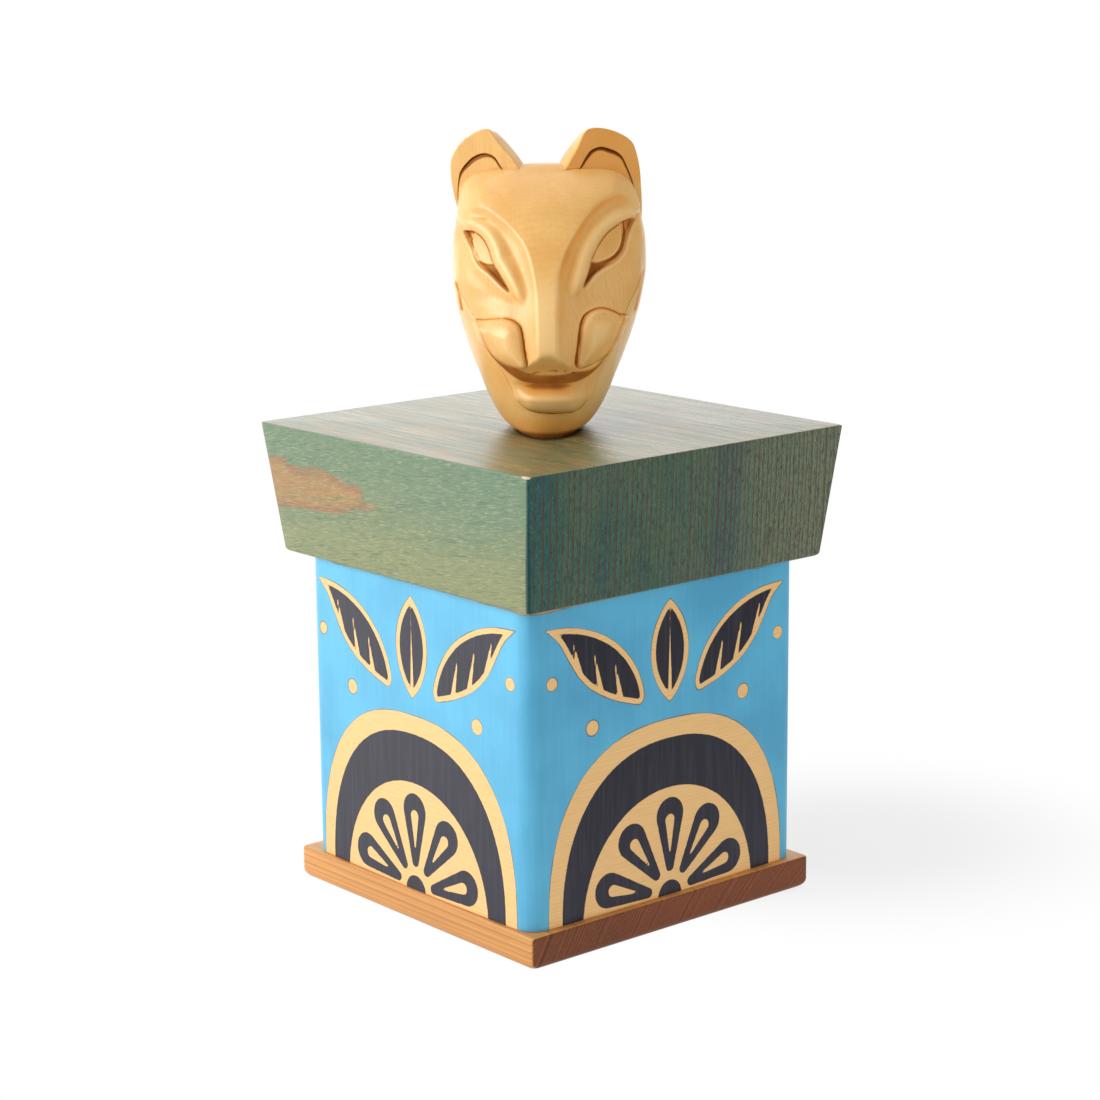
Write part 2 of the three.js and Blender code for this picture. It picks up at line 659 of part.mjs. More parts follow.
const earCuts = [
  {
    outer: [
      [-33.6, 84], [-34.1, 90.2], [-33, 97.3], [-28.2, 103], [-23.3, 104.7], [-19.3, 103], [-16.2, 98.2],
    ],
    inner: [
      [-33.3, 84], [-33.4, 90.2], [-31.6, 97], [-27, 101.2], [-23, 102.8], [-19.6, 101.5], [-16.6, 97.8],
    ],
  },
  {
    outer: [
      [11.2, 97], [14.7, 103.2], [18.8, 106.5], [23.9, 105.9], [28.7, 102.7], [31.5, 96.5], [34, 88],
    ],
    inner: [
      [11.8, 96.8], [15.9, 102.2], [19.2, 104.9], [23.3, 104.1], [27.9, 101.6], [30.7, 95.8], [33.6, 88],
    ],
  },
];

const earPlane = (u) => earFront - earTurn * Math.abs(u);

function ear(i) {
  const anticlockwise = (points) => (i === 0 ? [...points].reverse() : points);
  const back = anticlockwise(lineThrough(earBacks[i], 1));
  const front = anticlockwise(lineThrough(earFronts[i], 1));
  const levels = [[0, 0.86], [0.1, 0.96], [0.28, 1], [1, 1]];
  const middle = [i === 0 ? -21 : 20, 96];
  const rings = levels.map(([share, size]) =>
    back.map((point, j) => {
      const [u, w] = point.map((value, axis) => {
        const between = THREE.MathUtils.lerp(value, front[j][axis], share);
        return middle[axis] + size * (between - middle[axis]);
      });
      return headPoint(u, earPlane(u) - earThickness * (1 - share), w);
    }),
  );
  return skinOf(rings);
}

function earCut(i) {
  const outer = lineThrough(earCuts[i].outer, 2);
  const inner = lineThrough(earCuts[i].inner, 2);
  const widths = outer.map(([u, w], j) => Math.hypot(u - inner[j][0], w - inner[j][1]));
  const rings = outer.map((edge, j) => {
    const bottom = edge.map((value, axis) => THREE.MathUtils.lerp(value, inner[j][axis], 0.35));
    const deep = earCutDepth * Math.max(widths[j] / Math.max(...widths), 0.35);
    const corners = [[edge, 1], [inner[j], 1], [bottom, -deep]];
    return corners.map(([[u, w], out]) => headPoint(u, earPlane(u) + out, w));
  });
  return skinOf(rings);
}

function carvedHead() {
  const angles = [];
  for (let i = 0; i < headColumnsFront; i += 1) angles.push(-Math.PI / 2 + (Math.PI * i) / headColumnsFront);
  for (let i = 0; i < headColumnsBack; i += 1) angles.push(Math.PI / 2 + (Math.PI * i) / headColumnsBack);
  const levels = [];
  for (let i = 0; i < headRowsBelow; i += 1) levels.push((crownStart * i) / headRowsBelow);
  for (let i = 0; i < headRowsCrown; i += 1) {
    const share = Math.sin(((i / headRowsCrown) * Math.PI) / 2);
    levels.push(crownStart + (drawnHead.height - crownStart) * share);
  }
  const rings = levels.map((w) => angles.map((angle) => headSurface(w, angle)));
  let head = skinOf(rings);
  for (const i of [0, 1]) head = head.add(ear(i));
  for (const i of [0, 1]) head = head.subtract(earCut(i));
  return head.subtract(dowelHole());
}

// Assembly
const box = new THREE.Group();
const body = new THREE.Group();
body.add(meshFrom("base_board", baseBoard(), cedar));
body.add(meshFrom("side_plank", sidePlank(), paintedWood));
for (let i = 0; i < cornerPegCount; i += 1) {
  body.add(meshFrom(`corner_peg_${i + 1}`, cornerPeg(i), pegWood));
}
eachBasePeg((side, i) => {
  body.add(meshFrom(`base_peg_${side * basePegsPerSide + i + 1}`, basePeg(side, i), pegWood));
});
const cover = new THREE.Group();
cover.add(meshFrom("lid", lid(), stainedWood));
cover.add(meshFrom("carved_head", carvedHead(), yellowWood));
cover.add(meshFrom("head_dowel", headDowel(), pegWood));
box.add(body, cover);

export default box;
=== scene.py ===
import math

import bpy
import numpy as np
from mathutils import Matrix, Vector


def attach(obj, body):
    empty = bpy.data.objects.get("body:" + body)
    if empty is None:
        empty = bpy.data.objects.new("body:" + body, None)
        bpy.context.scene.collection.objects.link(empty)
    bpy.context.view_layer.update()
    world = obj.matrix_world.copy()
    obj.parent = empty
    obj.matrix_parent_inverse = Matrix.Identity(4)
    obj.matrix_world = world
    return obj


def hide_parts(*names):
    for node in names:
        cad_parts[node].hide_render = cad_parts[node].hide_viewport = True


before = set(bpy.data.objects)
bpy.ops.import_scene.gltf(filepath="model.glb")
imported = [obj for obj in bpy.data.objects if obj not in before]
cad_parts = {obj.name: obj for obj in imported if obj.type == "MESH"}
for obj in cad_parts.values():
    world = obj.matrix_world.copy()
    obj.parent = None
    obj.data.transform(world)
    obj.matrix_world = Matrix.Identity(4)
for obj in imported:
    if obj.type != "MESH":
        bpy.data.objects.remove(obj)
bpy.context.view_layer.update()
mm = 0.001
print("frame loaded:", len(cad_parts), "nodes")


# Curves and fields

def smoothCurve(knots):
    # y over x through the knots: cubic pieces whose slope at a knot is the harmonic mean of the
    # slopes beside it, or level where those differ in sign, so that it never swings past a knot
    x, y = np.array(knots, float).T
    steep = np.diff(y) / np.diff(x)
    before, after = steep[:-1], steep[1:]
    total = np.where(before + after == 0, 1, before + after)
    inner = np.where(before * after > 0, 2 * before * after / total, 0)
    slopes = np.concatenate([steep[:1], inner, steep[-1:]])

    def at(value):
        i = np.clip(np.searchsorted(x, value, side="right") - 1, 0, len(x) - 2)
        span = x[i + 1] - x[i]
        t = np.clip((value - x[i]) / span, 0, 1)
        rise = y[i + 1] - y[i]
        start, end = slopes[i] * span, slopes[i + 1] * span
        return y[i] + t * (start + t * (3 * rise - 2 * start - end + t * (start + end - 2 * rise)))

    return at


def roundLine(points, perSpan=4):
    # Centripetal Catmull-Rom line: each span between two points is a cubic whose end slopes come
    # from the points beside it, weighted by the root of their distances
    p = np.array(points, float)
    p = np.vstack([2 * p[0] - p[1], p, 2 * p[-1] - p[-2]])
    gap = np.sqrt(np.linalg.norm(np.diff(p, axis=0), axis=1))[:, None]
    before, here, after = gap[:-2], gap[1:-1], gap[2:]
    p0, p1, p2, p3 = p[:-3], p[1:-2], p[2:-1], p[3:]
    start = here * ((p1 - p0) / before - (p2 - p0) / (before + here) + (p2 - p1) / here)
    end = here * ((p2 - p1) / here - (p3 - p1) / (here + after) + (p3 - p2) / after)
    t = (np.arange(perSpan) / perSpan)[None, :, None]
    a, b, m, n = (ends[:, None, :] for ends in (p1, p2, start, end))
    line = a * (2 * t**3 - 3 * t**2 + 1) + m * (t**3 - 2 * t**2 + t)
    line = line + b * (3 * t**2 - 2 * t**3) + n * (t**3 - t**2)
    return np.vstack([line.reshape(-1, p.shape[1]), p[-2]])


def ease(value, low, high):
    # 0 below low, 1 above high, and a smooth S between; with high below low it falls instead
    t = np.clip((value - low) / (high - low), 0, 1)
    return t * t * (3 - 2 * t)


def blend(first, second, share):
    return first + (second - first) * share


def hump(distance, width):
    # A bell of height 1, narrow as its width
    return np.exp(-((distance / width) ** 2))


def ridge(shape, distance):
    # A bell with its own height, middle and width; below zero it is a groove
    height, middle, width = shape
    return height * hump(distance - middle, width)


def distanceTo(line, x, y):
    # Distance to an open line: the least one to its pieces
    nearest = np.full(x.shape, np.inf)
    for (ax, ay), (bx, by) in zip(line[:-1], line[1:]):
        dx, dy = bx - ax, by - ay
        t = np.clip(((x - ax) * dx + (y - ay) * dy) / max(dx * dx + dy * dy, 1e-12), 0, 1)
        nearest = np.minimum(nearest, np.hypot(x - ax - t * dx, y - ay - t * dy))
    return nearest


def depthInside(outline, x, y):
    # Signed distance to a closed outline, above zero inside: the sign comes from how many sides
    # a line to the right crosses
    closed = np.vstack([outline, outline[:1]])
    inside = np.zeros(x.shape, bool)
    for (ax, ay), (bx, by) in zip(closed[:-1], closed[1:]):
        if ay != by:
            crossing = ax + (y - ay) / (by - ay) * (bx - ax)
            inside ^= ((ay > y) != (by > y)) & (x < crossing)
    return np.where(inside, 1, -1) * distanceTo(closed, x, y)


def depthInLoop(points, x, y):
    # The same for the round line through a loop of points
    return depthInside(roundLine(points + points[:1]), x, y)


def arcPoints(centreX, centreY, radius, start, end, count):
    turn = np.radians(np.linspace(start, end, count + 1))
    return np.column_stack([centreX + radius * np.cos(turn), centreY + radius * np.sin(turn)])


def easedLevels(low, high, bottom, top, count, steps):
    # Heights from low to high, each with how far the outline draws in there: quarter rounds at
    # both ends, and even steps between
    turn = np.linspace(0, math.pi / 2, steps + 1)
    levels = [(low + bottom * (1 - math.cos(t)), bottom * (1 - math.sin(t))) for t in turn]
    levels += [(z, 0.0) for z in np.linspace(low + bottom, high - top, count)[1:-1]]
    return levels + [(high - top * (1 - math.cos(t)), top * (1 - math.sin(t))) for t in turn[::-1]]


def valueNoise(x, y, seed):
    # Smooth noise from -1 to 1: random heights on a square net, eased between its knots
    table = np.random.default_rng(seed).uniform(-1, 1, (64, 64))
    i, j = np.floor(x).astype(int), np.floor(y).astype(int)
    s, t = x - i, y - j
    s, t = s * s * (3 - 2 * s), t * t * (3 - 2 * t)
    corner = [table[(i + a) % 64, (j + b) % 64] for a in (0, 1) for b in (0, 1)]
    return (corner[0] * (1 - t) + corner[1] * t) * (1 - s) + (corner[2] * (1 - t) + corner[3] * t) * s


# Meshes

def placeObject(name, data):
    piece = bpy.data.objects.new(name, data)
    bpy.context.scene.collection.objects.link(piece)
    return piece


def closedSkin(name, *stacks, fan=True):
    # Closed mesh over each stack of rings with as many points each, anticlockwise seen from the
    # end of the stack: quads between the rings, and a fan or one flat face over each end
    points, faces, start = [], [], 0
    for rings in stacks:
        rings = np.array(rings)
        rows, columns = rings.shape[:2]
        index = start + np.arange(rows * columns).reshape(rows, columns)
        after = np.roll(index, -1, axis=1)
        start += rows * columns
        points.append(rings.reshape(-1, 3))
        faces += np.stack([index[:-1], after[:-1], after[1:], index[1:]], axis=-1).reshape(-1, 4).tolist()
        if fan:
            points.append([rings[0].mean(0), rings[-1].mean(0)])
            faces += [[b, a, start] for a, b in zip(index[0], after[0])]
            faces += [[a, b, start + 1] for a, b in zip(index[-1], after[-1])]
            start += 2
        else:
            faces += [index[0][::-1].tolist(), index[-1].tolist()]
    mesh = bpy.data.meshes.new(name)
    mesh.from_pydata(np.vstack(points) * mm, [], faces)
    mesh.validate()
    return placeObject(name, mesh)


def combine(piece, tool, operation):
    # Joins a piece with a second closed mesh, or cuts it by that mesh, and keeps a plain mesh
    modifier = piece.modifiers.new("combine", "BOOLEAN")
    modifier.operation = operation
    modifier.object = tool
    modifier.solver = "MANIFOLD"
    bpy.context.view_layer.update()
    whole = piece.evaluated_get(bpy.context.evaluated_depsgraph_get())
    made = bpy.data.meshes.new_from_object(whole)
    piece.modifiers.clear()
    piece.data = made
    bpy.data.objects.remove(tool)


def pointsOf(mesh):
    flat = np.zeros(len(mesh.vertices) * 3, np.float32)
    mesh.vertices.foreach_get("co", flat)
    return flat.reshape(-1, 3).astype(float)


def movePoints(piece, points):
    piece.data.vertices.foreach_set("co", (points * mm).astype(np.float32).ravel())
    piece.data.update()


def keepField(piece, name, values):
    # One number for each vertex, which a material reads by its name
    field = piece.data.attributes.new(name, "FLOAT", "POINT")
    field.data.foreach_set("value", np.asarray(values, np.float32))


def finishPiece(piece, name, material, body, slot, *nodes, crease=35):
    # Smooth shading with sharp creases, then the piece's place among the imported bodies
    piece.name = name
    piece.data.name = name
    piece.data.materials.clear()
    piece.data.materials.append(material)
    piece.data.polygons.foreach_set("use_smooth", [True] * len(piece.data.polygons))
    piece.data.set_sharp_from_angle(angle=math.radians(crease))
    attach(piece, body)
    if nodes:
        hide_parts(*nodes)


def rectangleRing(halfX, halfY, corner, z, centre=(0, 0), perSide=1):
    # Rounded rectangle: quarter circles at the corners, with straight sides cut in equal lengths
    arcs = []
    for quarter, (signX, signY) in enumerate([(1, 1), (-1, 1), (-1, -1), (1, -1)]):
        middle = (centre[0] + signX * (halfX - corner), centre[1] + signY * (halfY - corner))
        arcs.append(arcPoints(*middle, corner, 90 * quarter, 90 * quarter + 90, 6))
    share = (np.arange(1, perSide) / perSide)[:, None]
    ring = []
    for arc, following in zip(arcs, arcs[1:] + arcs[:1]):
        ring += [arc, arc[-1] + share * (following[0] - arc[-1])]
    ring = np.vstack(ring)
    return np.column_stack([ring, np.full(len(ring), z)])


def steppedBlock(name, size, corner, levels, centre, perSide=1):
    # Upright block of one size, which each level draws in
    halfX, halfY = size[0] / 2, size[1] / 2
    return closedSkin(name, [rectangleRing(halfX - inset, halfY - inset, corner, z, centre, perSide)
                             for z, inset in levels])


def roundedBlock(name, values, perSide, perHeight):
    # Block between a bottom and a top size, with quarter rounds along its edges
    low, high = values["low"], values["high"]
    rings = []
    for z, inset in easedLevels(low, high, values["bottomRound"], values["topRound"], perHeight + 1, 6):
        share = (z - low) / (high - low)
        half = [(a + (b - a) * share) / 2 - inset for a, b in zip(values["bottom"], values["top"])]
        rings.append(rectangleRing(*half, values["corner"] + inset / 2, z, perSide=perSide))
    return closedSkin(name, rings)


# Materials

class Wire:
    # What a node gives. A sign between wires, or between a wire and a number, is a math node

    def __init__(self, recipe, socket):
        self.recipe, self.socket = recipe, socket

    def sum(self, operation, *others):
        return self.recipe.node("Math", dict(enumerate((self, *others))), operation=operation)

    def __add__(self, other):
        return self.sum("ADD", other)

    def __sub__(self, other):
        return self.sum("SUBTRACT", other)

    def __mul__(self, other):
        return self.sum("MULTIPLY", other)

    def __truediv__(self, other):
        return self.sum("DIVIDE", other)

    def __pow__(self, other):
        return self.sum("POWER", other)

    def __abs__(self):
        return self.sum("ABSOLUTE")

    def orMore(self, other):
        return self.sum("MAXIMUM", other)

    def orLess(self, other):
        return self.sum("MINIMUM", other)

    def fit(self, low, high, first=0.0, last=1.0, smooth=True):
        # Goes from first to last as the value goes from low to high
        inputs = {"Value": self, "From Min": low, "From Max": high, "To Min": first, "To Max": last}
        kind = "SMOOTHSTEP" if smooth else "LINEAR"
        return self.recipe.node("MapRange", inputs, interpolation_type=kind)

    def across(self, low, high, first=0.0, last=1.0, smooth=True):
        # The same between two lengths in millimetres
        return self.fit(low * mm, high * mm, first, last, smooth)

    def under(self, share, colour):
        # This colour with another one over it, as thick as the share says
        return self.recipe.mix(share, self, colour)


class Recipe:
    # The nodes of a material or of the world, with short calls for the kinds used here

    def __init__(self, owner, shader, **fixed):
        owner.use_nodes = True
        self.owner, self.tree = owner, owner.node_tree
        self.shader = self.tree.nodes[shader]
        for socket, value in fixed.items():
            self.shader.inputs[socket.replace("_", " ")].default_value = value

    def node(self, kind, inputs, output=0, **settings):
        made = self.tree.nodes.new("ShaderNode" + kind)
        for key, value in settings.items():
            setattr(made, key, value)
        for key, value in inputs.items():
            if isinstance(value, Wire):
                self.tree.links.new(value.socket, made.inputs[key])
            else:
                made.inputs[key].default_value = value
        return Wire(self, made.outputs[output])

    def place(self):
        return self.node("TexCoord", {}, "Object")

    def parts(self, vector):
        split = self.node("SeparateXYZ", {0: vector}).socket.node
        return [Wire(self, socket) for socket in split.outputs]

    def normal(self):
        return self.parts(self.node("TexCoord", {}, "Normal"))

    def field(self, name, output="Fac"):
        return self.node("Attribute", {}, output, attribute_name=name)

    def stretch(self, vector, scale):
        return self.node("Mapping", {"Vector": vector, "Scale": scale})

    def noise(self, vector, scale, detail=2.0, roughness=0.5, along=(1, 1, 1)):
        # It is long in the directions whose number in along is small
        inputs = {"Vector": self.stretch(vector, along), "Scale": scale, "Detail": detail,
                  "Roughness": roughness}
        return self.node("TexNoise", inputs)

    def noises(self, vector, values, *names):
        return [self.noise(vector, *values[name]) for name in names]

    def unevenness(self, value, scale):
        return self.node("TexNoise", {"W": value, "Scale": scale, "Detail": 1.0}, noise_dimensions="1D")

    def distance(self, vector, middle):
        return self.node("VectorMath", {0: vector, 1: middle}, "Value", operation="DISTANCE")

    def mix(self, share, first, second, kind="MIX"):
        # Colours are wires or three numbers
        first, second = (value if isinstance(value, Wire) else (*value, 1.0) for value in (first, second))
        return self.node("Mix", {0: share, 6: first, 7: second}, 2, data_type="RGBA", blend_type=kind)

    def graph(self, value, points):
        # Broken line through the points, both directions in millimetres, as a ramp of greys
        xs, ys = zip(*points)
        low, high = min(ys), max(ys)
        made = self.node("ValToRGB", {0: value.across(xs[0], xs[-1], smooth=False)})
        elements = made.socket.node.color_ramp.elements
        while len(elements) < len(points):
            elements.new(0.5)
        for element, (x, y) in zip(elements, points):
            element.position = (x - xs[0]) / (xs[-1] - xs[0])
            element.color = (*[(y - low) / (high - low)] * 3, 1.0)
        return made.fit(0.0, 1.0, low * mm, high * mm, smooth=False)

    def bump(self, height, distance, strength):
        return self.node("Bump", {"Height": height, "Distance": distance * mm, "Strength": strength})

    def use(self, **links):
        for socket, wire in links.items():
            self.tree.links.new(wire.socket, self.shader.inputs[socket.replace("_", " ")])
        return self.owner


def surfaceRecipe(name, **fixed):
    return Recipe(bpy.data.materials.new(name), "Principled BSDF", **fixed)


def ringRadius(recipe, values, parts, axis, along):
    # Distance from a tree's axis across two parts of the place, made wavy by a slow noise
    a, b = (part - at * mm for part, at in zip(parts, axis))
    slow = recipe.noise(recipe.place(), values["waveScale"], along=along)
    return (a * a + b * b).sum("SQRT") + slow * (values["wave"] * mm)


print("helpers ready")


# The camera stands where the photograph was taken from, a little above the lid

cameraValues = {
    "yaw": -40.274,  # degrees round the box, 0 looks along +Y
    "pitch": 12.444,
    "roll": -0.515,
    "distance": 1081.775,
    "across": -0.15,
    "height": 136.35,
    "lens": 90.4,
    "sensor": 36.0,
}


def placeCamera(values):
    yaw, pitch, roll = (math.radians(values[key]) for key in ("yaw", "pitch", "roll"))
    back = Vector((math.sin(yaw) * math.cos(pitch), -math.cos(yaw) * math.cos(pitch), math.sin(pitch)))
    level = Vector((math.cos(yaw), math.sin(yaw), 0))
    rise = back.cross(level)
    right = level * math.cos(roll) + rise * math.sin(roll)
    up = rise * math.cos(roll) - level * math.sin(roll)
    spot = back * values["distance"] + right * values["across"] + Vector((0, 0, values["height"]))
    data = bpy.data.cameras.new("camera")
    data.lens = values["lens"]
    data.sensor_width = values["sensor"]
    data.clip_start, data.clip_end = 0.05, 50.0
    camera = placeObject("camera", data)
    camera.matrix_world = Matrix.Translation(spot * mm) @ Matrix((right, up, back)).transposed().to_4x4()
    bpy.context.scene.camera = camera


placeCamera(cameraValues)


# Soft studio light: a big lamp at the left, a weaker one in front, white all round

studioValues = {
    "lamps": {  # place, size and power
        "key": ((-1.65, 0.62, 0.95), 1.1, 30.0),
        "fill": ((0.75, -1.9, 0.42), 1.3, 13.5),
        "top": ((0.1, 0.2, 1.9), 1.2, 6.0),
    },
    "aim": (0.0, 0.0, 0.15),
    "unmirrored": ("fill",),  # lamps that lighten shaded sides but show in no polished face
    "worldLight": 0.42,
    "mirrorTowards": (-0.35, 0.94, 0.0),  # away from the camera and to its left
    "mirrorFrom": -0.7,
    "mirrorTo": 0.65,
    "mirrorDim": 0.10,  # what a polished face sees in front of the box and to its right
    "mirrorBright": 1.8,  # and behind it and to its left
    "floorColour": (0.86, 0.86, 0.86),
    "floorOwnWhite": 0.70,
    "floorReach": 12.0,
    "shadowMiddle": (0.13, -0.045, 0.0),
    "fadeFrom": 0.02,
    "fadeTo": 0.14,
}


def addLamp(name, place, size, power, values):
    data = bpy.data.lights.new(name, "AREA")
    data.shape = "SQUARE"
    data.size = size
    data.energy = power
    lamp = placeObject(name, data)
    lamp.location = place
    lamp.rotation_mode = "QUATERNION"
    lamp.rotation_quaternion = (Vector(values["aim"]) - Vector(place)).to_track_quat("-Z", "Y")
    lamp.visible_glossy = name not in values["unmirrored"]


def mirrorLight(recipe, direction, values):
    # Brightness that reflections see, by the way they look: it grows along one level direction
    towards = recipe.node("VectorMath", {0: direction, 1: values["mirrorTowards"]}, "Value",
                          operation="DOT_PRODUCT")
    return towards.fit(values["mirrorFrom"], values["mirrorTo"], values["mirrorDim"],
                       values["mirrorBright"])


def lightWorld(values):
    # White for the camera and through glass, the mirror light for reflections, and the plain
    # world light for everything else
    world = bpy.data.worlds.new("studio")
    bpy.context.scene.world = world
    recipe = Recipe(world, "Background", Color=(1, 1, 1, 1))
    mirror = mirrorLight(recipe, recipe.node("TexCoord", {}, "Generated"), values)
    strength = values["worldLight"]
    for ray, light in (("Is Glossy Ray", mirror), ("Is Camera Ray", 1.0), ("Is Transmission Ray", 1.0)):
        choice = {"Factor": recipe.node("LightPath", {}, ray), "A": strength, "B": light}
        strength = recipe.node("Mix", choice, "Result")
    recipe.use(Strength=strength)


def floorMaterial(values):
    # Pale paper that keeps the shadow at the box's right and turns into the white background away
    # from it, where only the camera and reflections see it
    recipe = surfaceRecipe("paper", Roughness=0.9, Base_Color=(*values["floorColour"], 1),
                           Specular_IOR_Level=0.1)
    place = recipe.place()
    seen, mirrored = (recipe.node("LightPath", {}, ray) for ray in ("Is Camera Ray", "Is Glossy Ray"))
    fade = recipe.distance(place, values["shadowMiddle"]).fit(values["fadeFrom"], values["fadeTo"],
                                                              values["floorOwnWhite"], 1.0)
    strength = mirrored.fit(0.0, 1.0, 1.0, mirrorLight(recipe, place, values), smooth=False)
    white = recipe.node("Emission", {"Color": (1, 1, 1, 1), "Strength": strength})
    paper = Wire(recipe, recipe.shader.outputs[0])
    mixed = recipe.node("MixShader", {0: (fade * seen).orMore(mirrored), 1: paper, 2: white})
    recipe.tree.links.new(mixed.socket, recipe.tree.nodes["Material Output"].inputs["Surface"])
    return recipe.owner


def layFloor(values):
    reach = values["floorReach"]
    corners = [(-reach, -reach, 0), (reach, -reach, 0), (reach, reach, 0), (-reach, reach, 0)]
    mesh = bpy.data.meshes.new("floor")
    mesh.from_pydata(corners, [], [(0, 1, 2, 3)])
    mesh.materials.append(floorMaterial(values))
    placeObject("floor", mesh)


for lampName, lampSettings in studioValues["lamps"].items():
    addLamp(lampName, *lampSettings, studioValues)
lightWorld(studioValues)
layFloor(studioValues)
bpy.context.scene.view_settings.view_transform = "Standard"
print("camera, lamps and floor placed")


# Base board: red cedar with its grain along Y, so the -Y face shows end grain

baseValues = {
    "bottom": (143.0, 145.0),
    "top": (143.0, 145.0),
    "low": 0.0,
    "high": 13.0,
    "bottomRound": 3.5,
    "topRound": 0.8,
    "corner": 1.5,
    "plateau": (119.4, 117.4),  # the raised part that fills the walls
    "plateauRise": 4.0,
    "plateauCorner": 1.0,
    "plateauEdge": [(-0.6, 0.0), (-0.2, 0.15), (0.0, 0.6)],  # height under its top, and inset
    "centre": (-1.0, -1.5),
}

cedarValues = {
    "axisX": 160.0,
    "axisZ": -120.0,
    "wave": 3.0,
    "waveScale": 9.0,
    "uneven": 5.0,
    "unevenScale": 140.0,
    "ringWidth": 1.35,
    "earlyWood": (0.71, 0.335, 0.085),
    "ringPower": 3.0,
    "fibre": (900.0, 3.0, 0.6, (1, 0.02, 1)),  # noises: scale, detail, roughness and stretch
    "cloud": (22.0, 2.0, 0.5, (1, 0.3, 1)),
    "fibreShade": (0.3, 0.75, 1.12, 0.86),  # fits: from and to, and what they give
    "cloudShade": (0.3, 0.7, 0.9, 1.1),
    "endShare": (0.45, 0.8),
    "shine": (0.6, 0.2),  # on the sides and on the end grain
    "lateWood": (0.50, 0.19, 0.045),
    "endEarly": (0.25, 0.082, 0.036),
    "endLate": (0.11, 0.030, 0.013),
}


def cedarMaterial(values):
    # Growth rings round an axis along Y, uneven in width. Each runs from 0, its pale early wood,
    # to 1, its dark edge
    recipe = surfaceRecipe("satinCedar", Roughness=0.42)
    place = recipe.place()
    x, y, z = recipe.parts(place)
    radius = ringRadius(recipe, values, (x, z), (values["axisX"], values["axisZ"]), (1, 0.15, 1))
    counted = recipe.unevenness(radius, values["unevenScale"]) * (values["uneven"] * mm) + radius
    ring = (counted / (values["ringWidth"] * mm)).sum("FRACT")
    edge = ring ** values["ringPower"]
    fibre, cloud = recipe.noises(place, values, "fibre", "cloud")
    side = recipe.mix(edge, values["earlyWood"], values["lateWood"])
    end = recipe.mix(edge, values["endEarly"], values["endLate"])
    onEnd = abs(recipe.normal()[1]).fit(*values["endShare"])
    shade = fibre.fit(*values["fibreShade"], smooth=False) * cloud.fit(*values["cloudShade"])
    grey = recipe.node("CombineColor", {0: shade, 1: shade, 2: shade})
    return recipe.use(Base_Color=recipe.mix(1.0, side.under(onEnd, end), grey, "MULTIPLY"),
                      Specular_IOR_Level=onEnd.fit(0.0, 1.0, *values["shine"], smooth=False),
                      Normal=recipe.bump(fibre - edge * 0.5, 0.12, 0.5))


def buildBase(values):
    board = roundedBlock("baseBoard", values, perSide=24, perHeight=4)
    top = values["high"] + values["plateauRise"]
    levels = [(values["high"] / 2, 0.0)] + [(top + z, inset) for z, inset in values["plateauEdge"]]
    plateau = steppedBlock("plateau", values["plateau"], values["plateauCorner"], levels,
                           values["centre"], perSide=8)
    combine(board, plateau, "UNION")
    return board


satinCedar = cedarMaterial(cedarValues)
baseBoard = buildBase(baseValues)
print("base board made")

# Sides: one yellow cedar plank, kerfed and bent round three corners, painted outside

sideValues = {
    "size": (139.0, 137.0),
    "low": 13.0,
    "height": 121.9,
    "centre": (-1.0, -1.5),
    "wall": 9.5,
    "bendRadius": 8.5,
    "bendWall": 3.2,
    "bow": 0.8,
    "kerfSlot": 0.7,
    "kerfHollow": 1.2,
    "kerfHollowAngle": 34.0,
    "lap": 3.5,
    "lapCorner": 1.5,
    "gap": 0.3,
    "edgeRound": 0.5,
    "spacing": 1.0,
}

pegValues = {
    "diameter": 4.0,
    "clearance": 0.3,
    "recess": 0.3,
    "cornerCount": 5,
    "cornerLength": 18.0,
    "cornerMargin": 14.0,
    "basePerSide": 2,
    "baseSpacing": 80.0,
    "intoWall": 12.0,
    "endRound": 0.35,
}


def bowedLine(start, control, end, spacing):
    # Quadratic curve from start to end, drawn towards a control point
    count = max(int(math.dist(start, end) / spacing), 1)
    t = np.linspace(0, 1, count + 1)[:, None]
    start, control, end = (np.array(p, float) for p in (start, control, end))
    return start * (1 - t) ** 2 + 2 * control * t * (1 - t) + end * t**2


def kerfPoints(values, signX, signY, bendX, bendY, innerX, innerY):
    # One kerf seen from above: a saw slot out from the inside corner to an undercut along the bend
    diagonal = math.degrees(math.atan2(signY * innerY, signX * innerX))
    outer = values["bendRadius"] - values["bendWall"]
    inner = outer - values["kerfHollow"]
    reach = values["kerfHollowAngle"]
    slot = math.degrees(math.asin(values["kerfSlot"] / 2 / inner))
    centre = (signX * bendX, signY * bendY)
    corner = np.array([signX * innerX, signY * innerY])
    mouth = values["kerfSlot"] / math.sqrt(2)
    arriving, leaving = corner.copy(), corner.copy()
    first = 1 if signX * signY < 0 else 0
    arriving[first] -= mouth * math.copysign(1, corner[first])
    leaving[1 - first] -= mouth * math.copysign(1, corner[1 - first])
    return np.vstack([
        arriving,
        arcPoints(*centre, inner, diagonal + slot, diagonal + reach, 2),
        arcPoints(*centre, outer, diagonal + reach, diagonal - reach, 8),
        arcPoints(*centre, inner, diagonal - reach, diagonal - slot, 2),
        leaving,
    ])


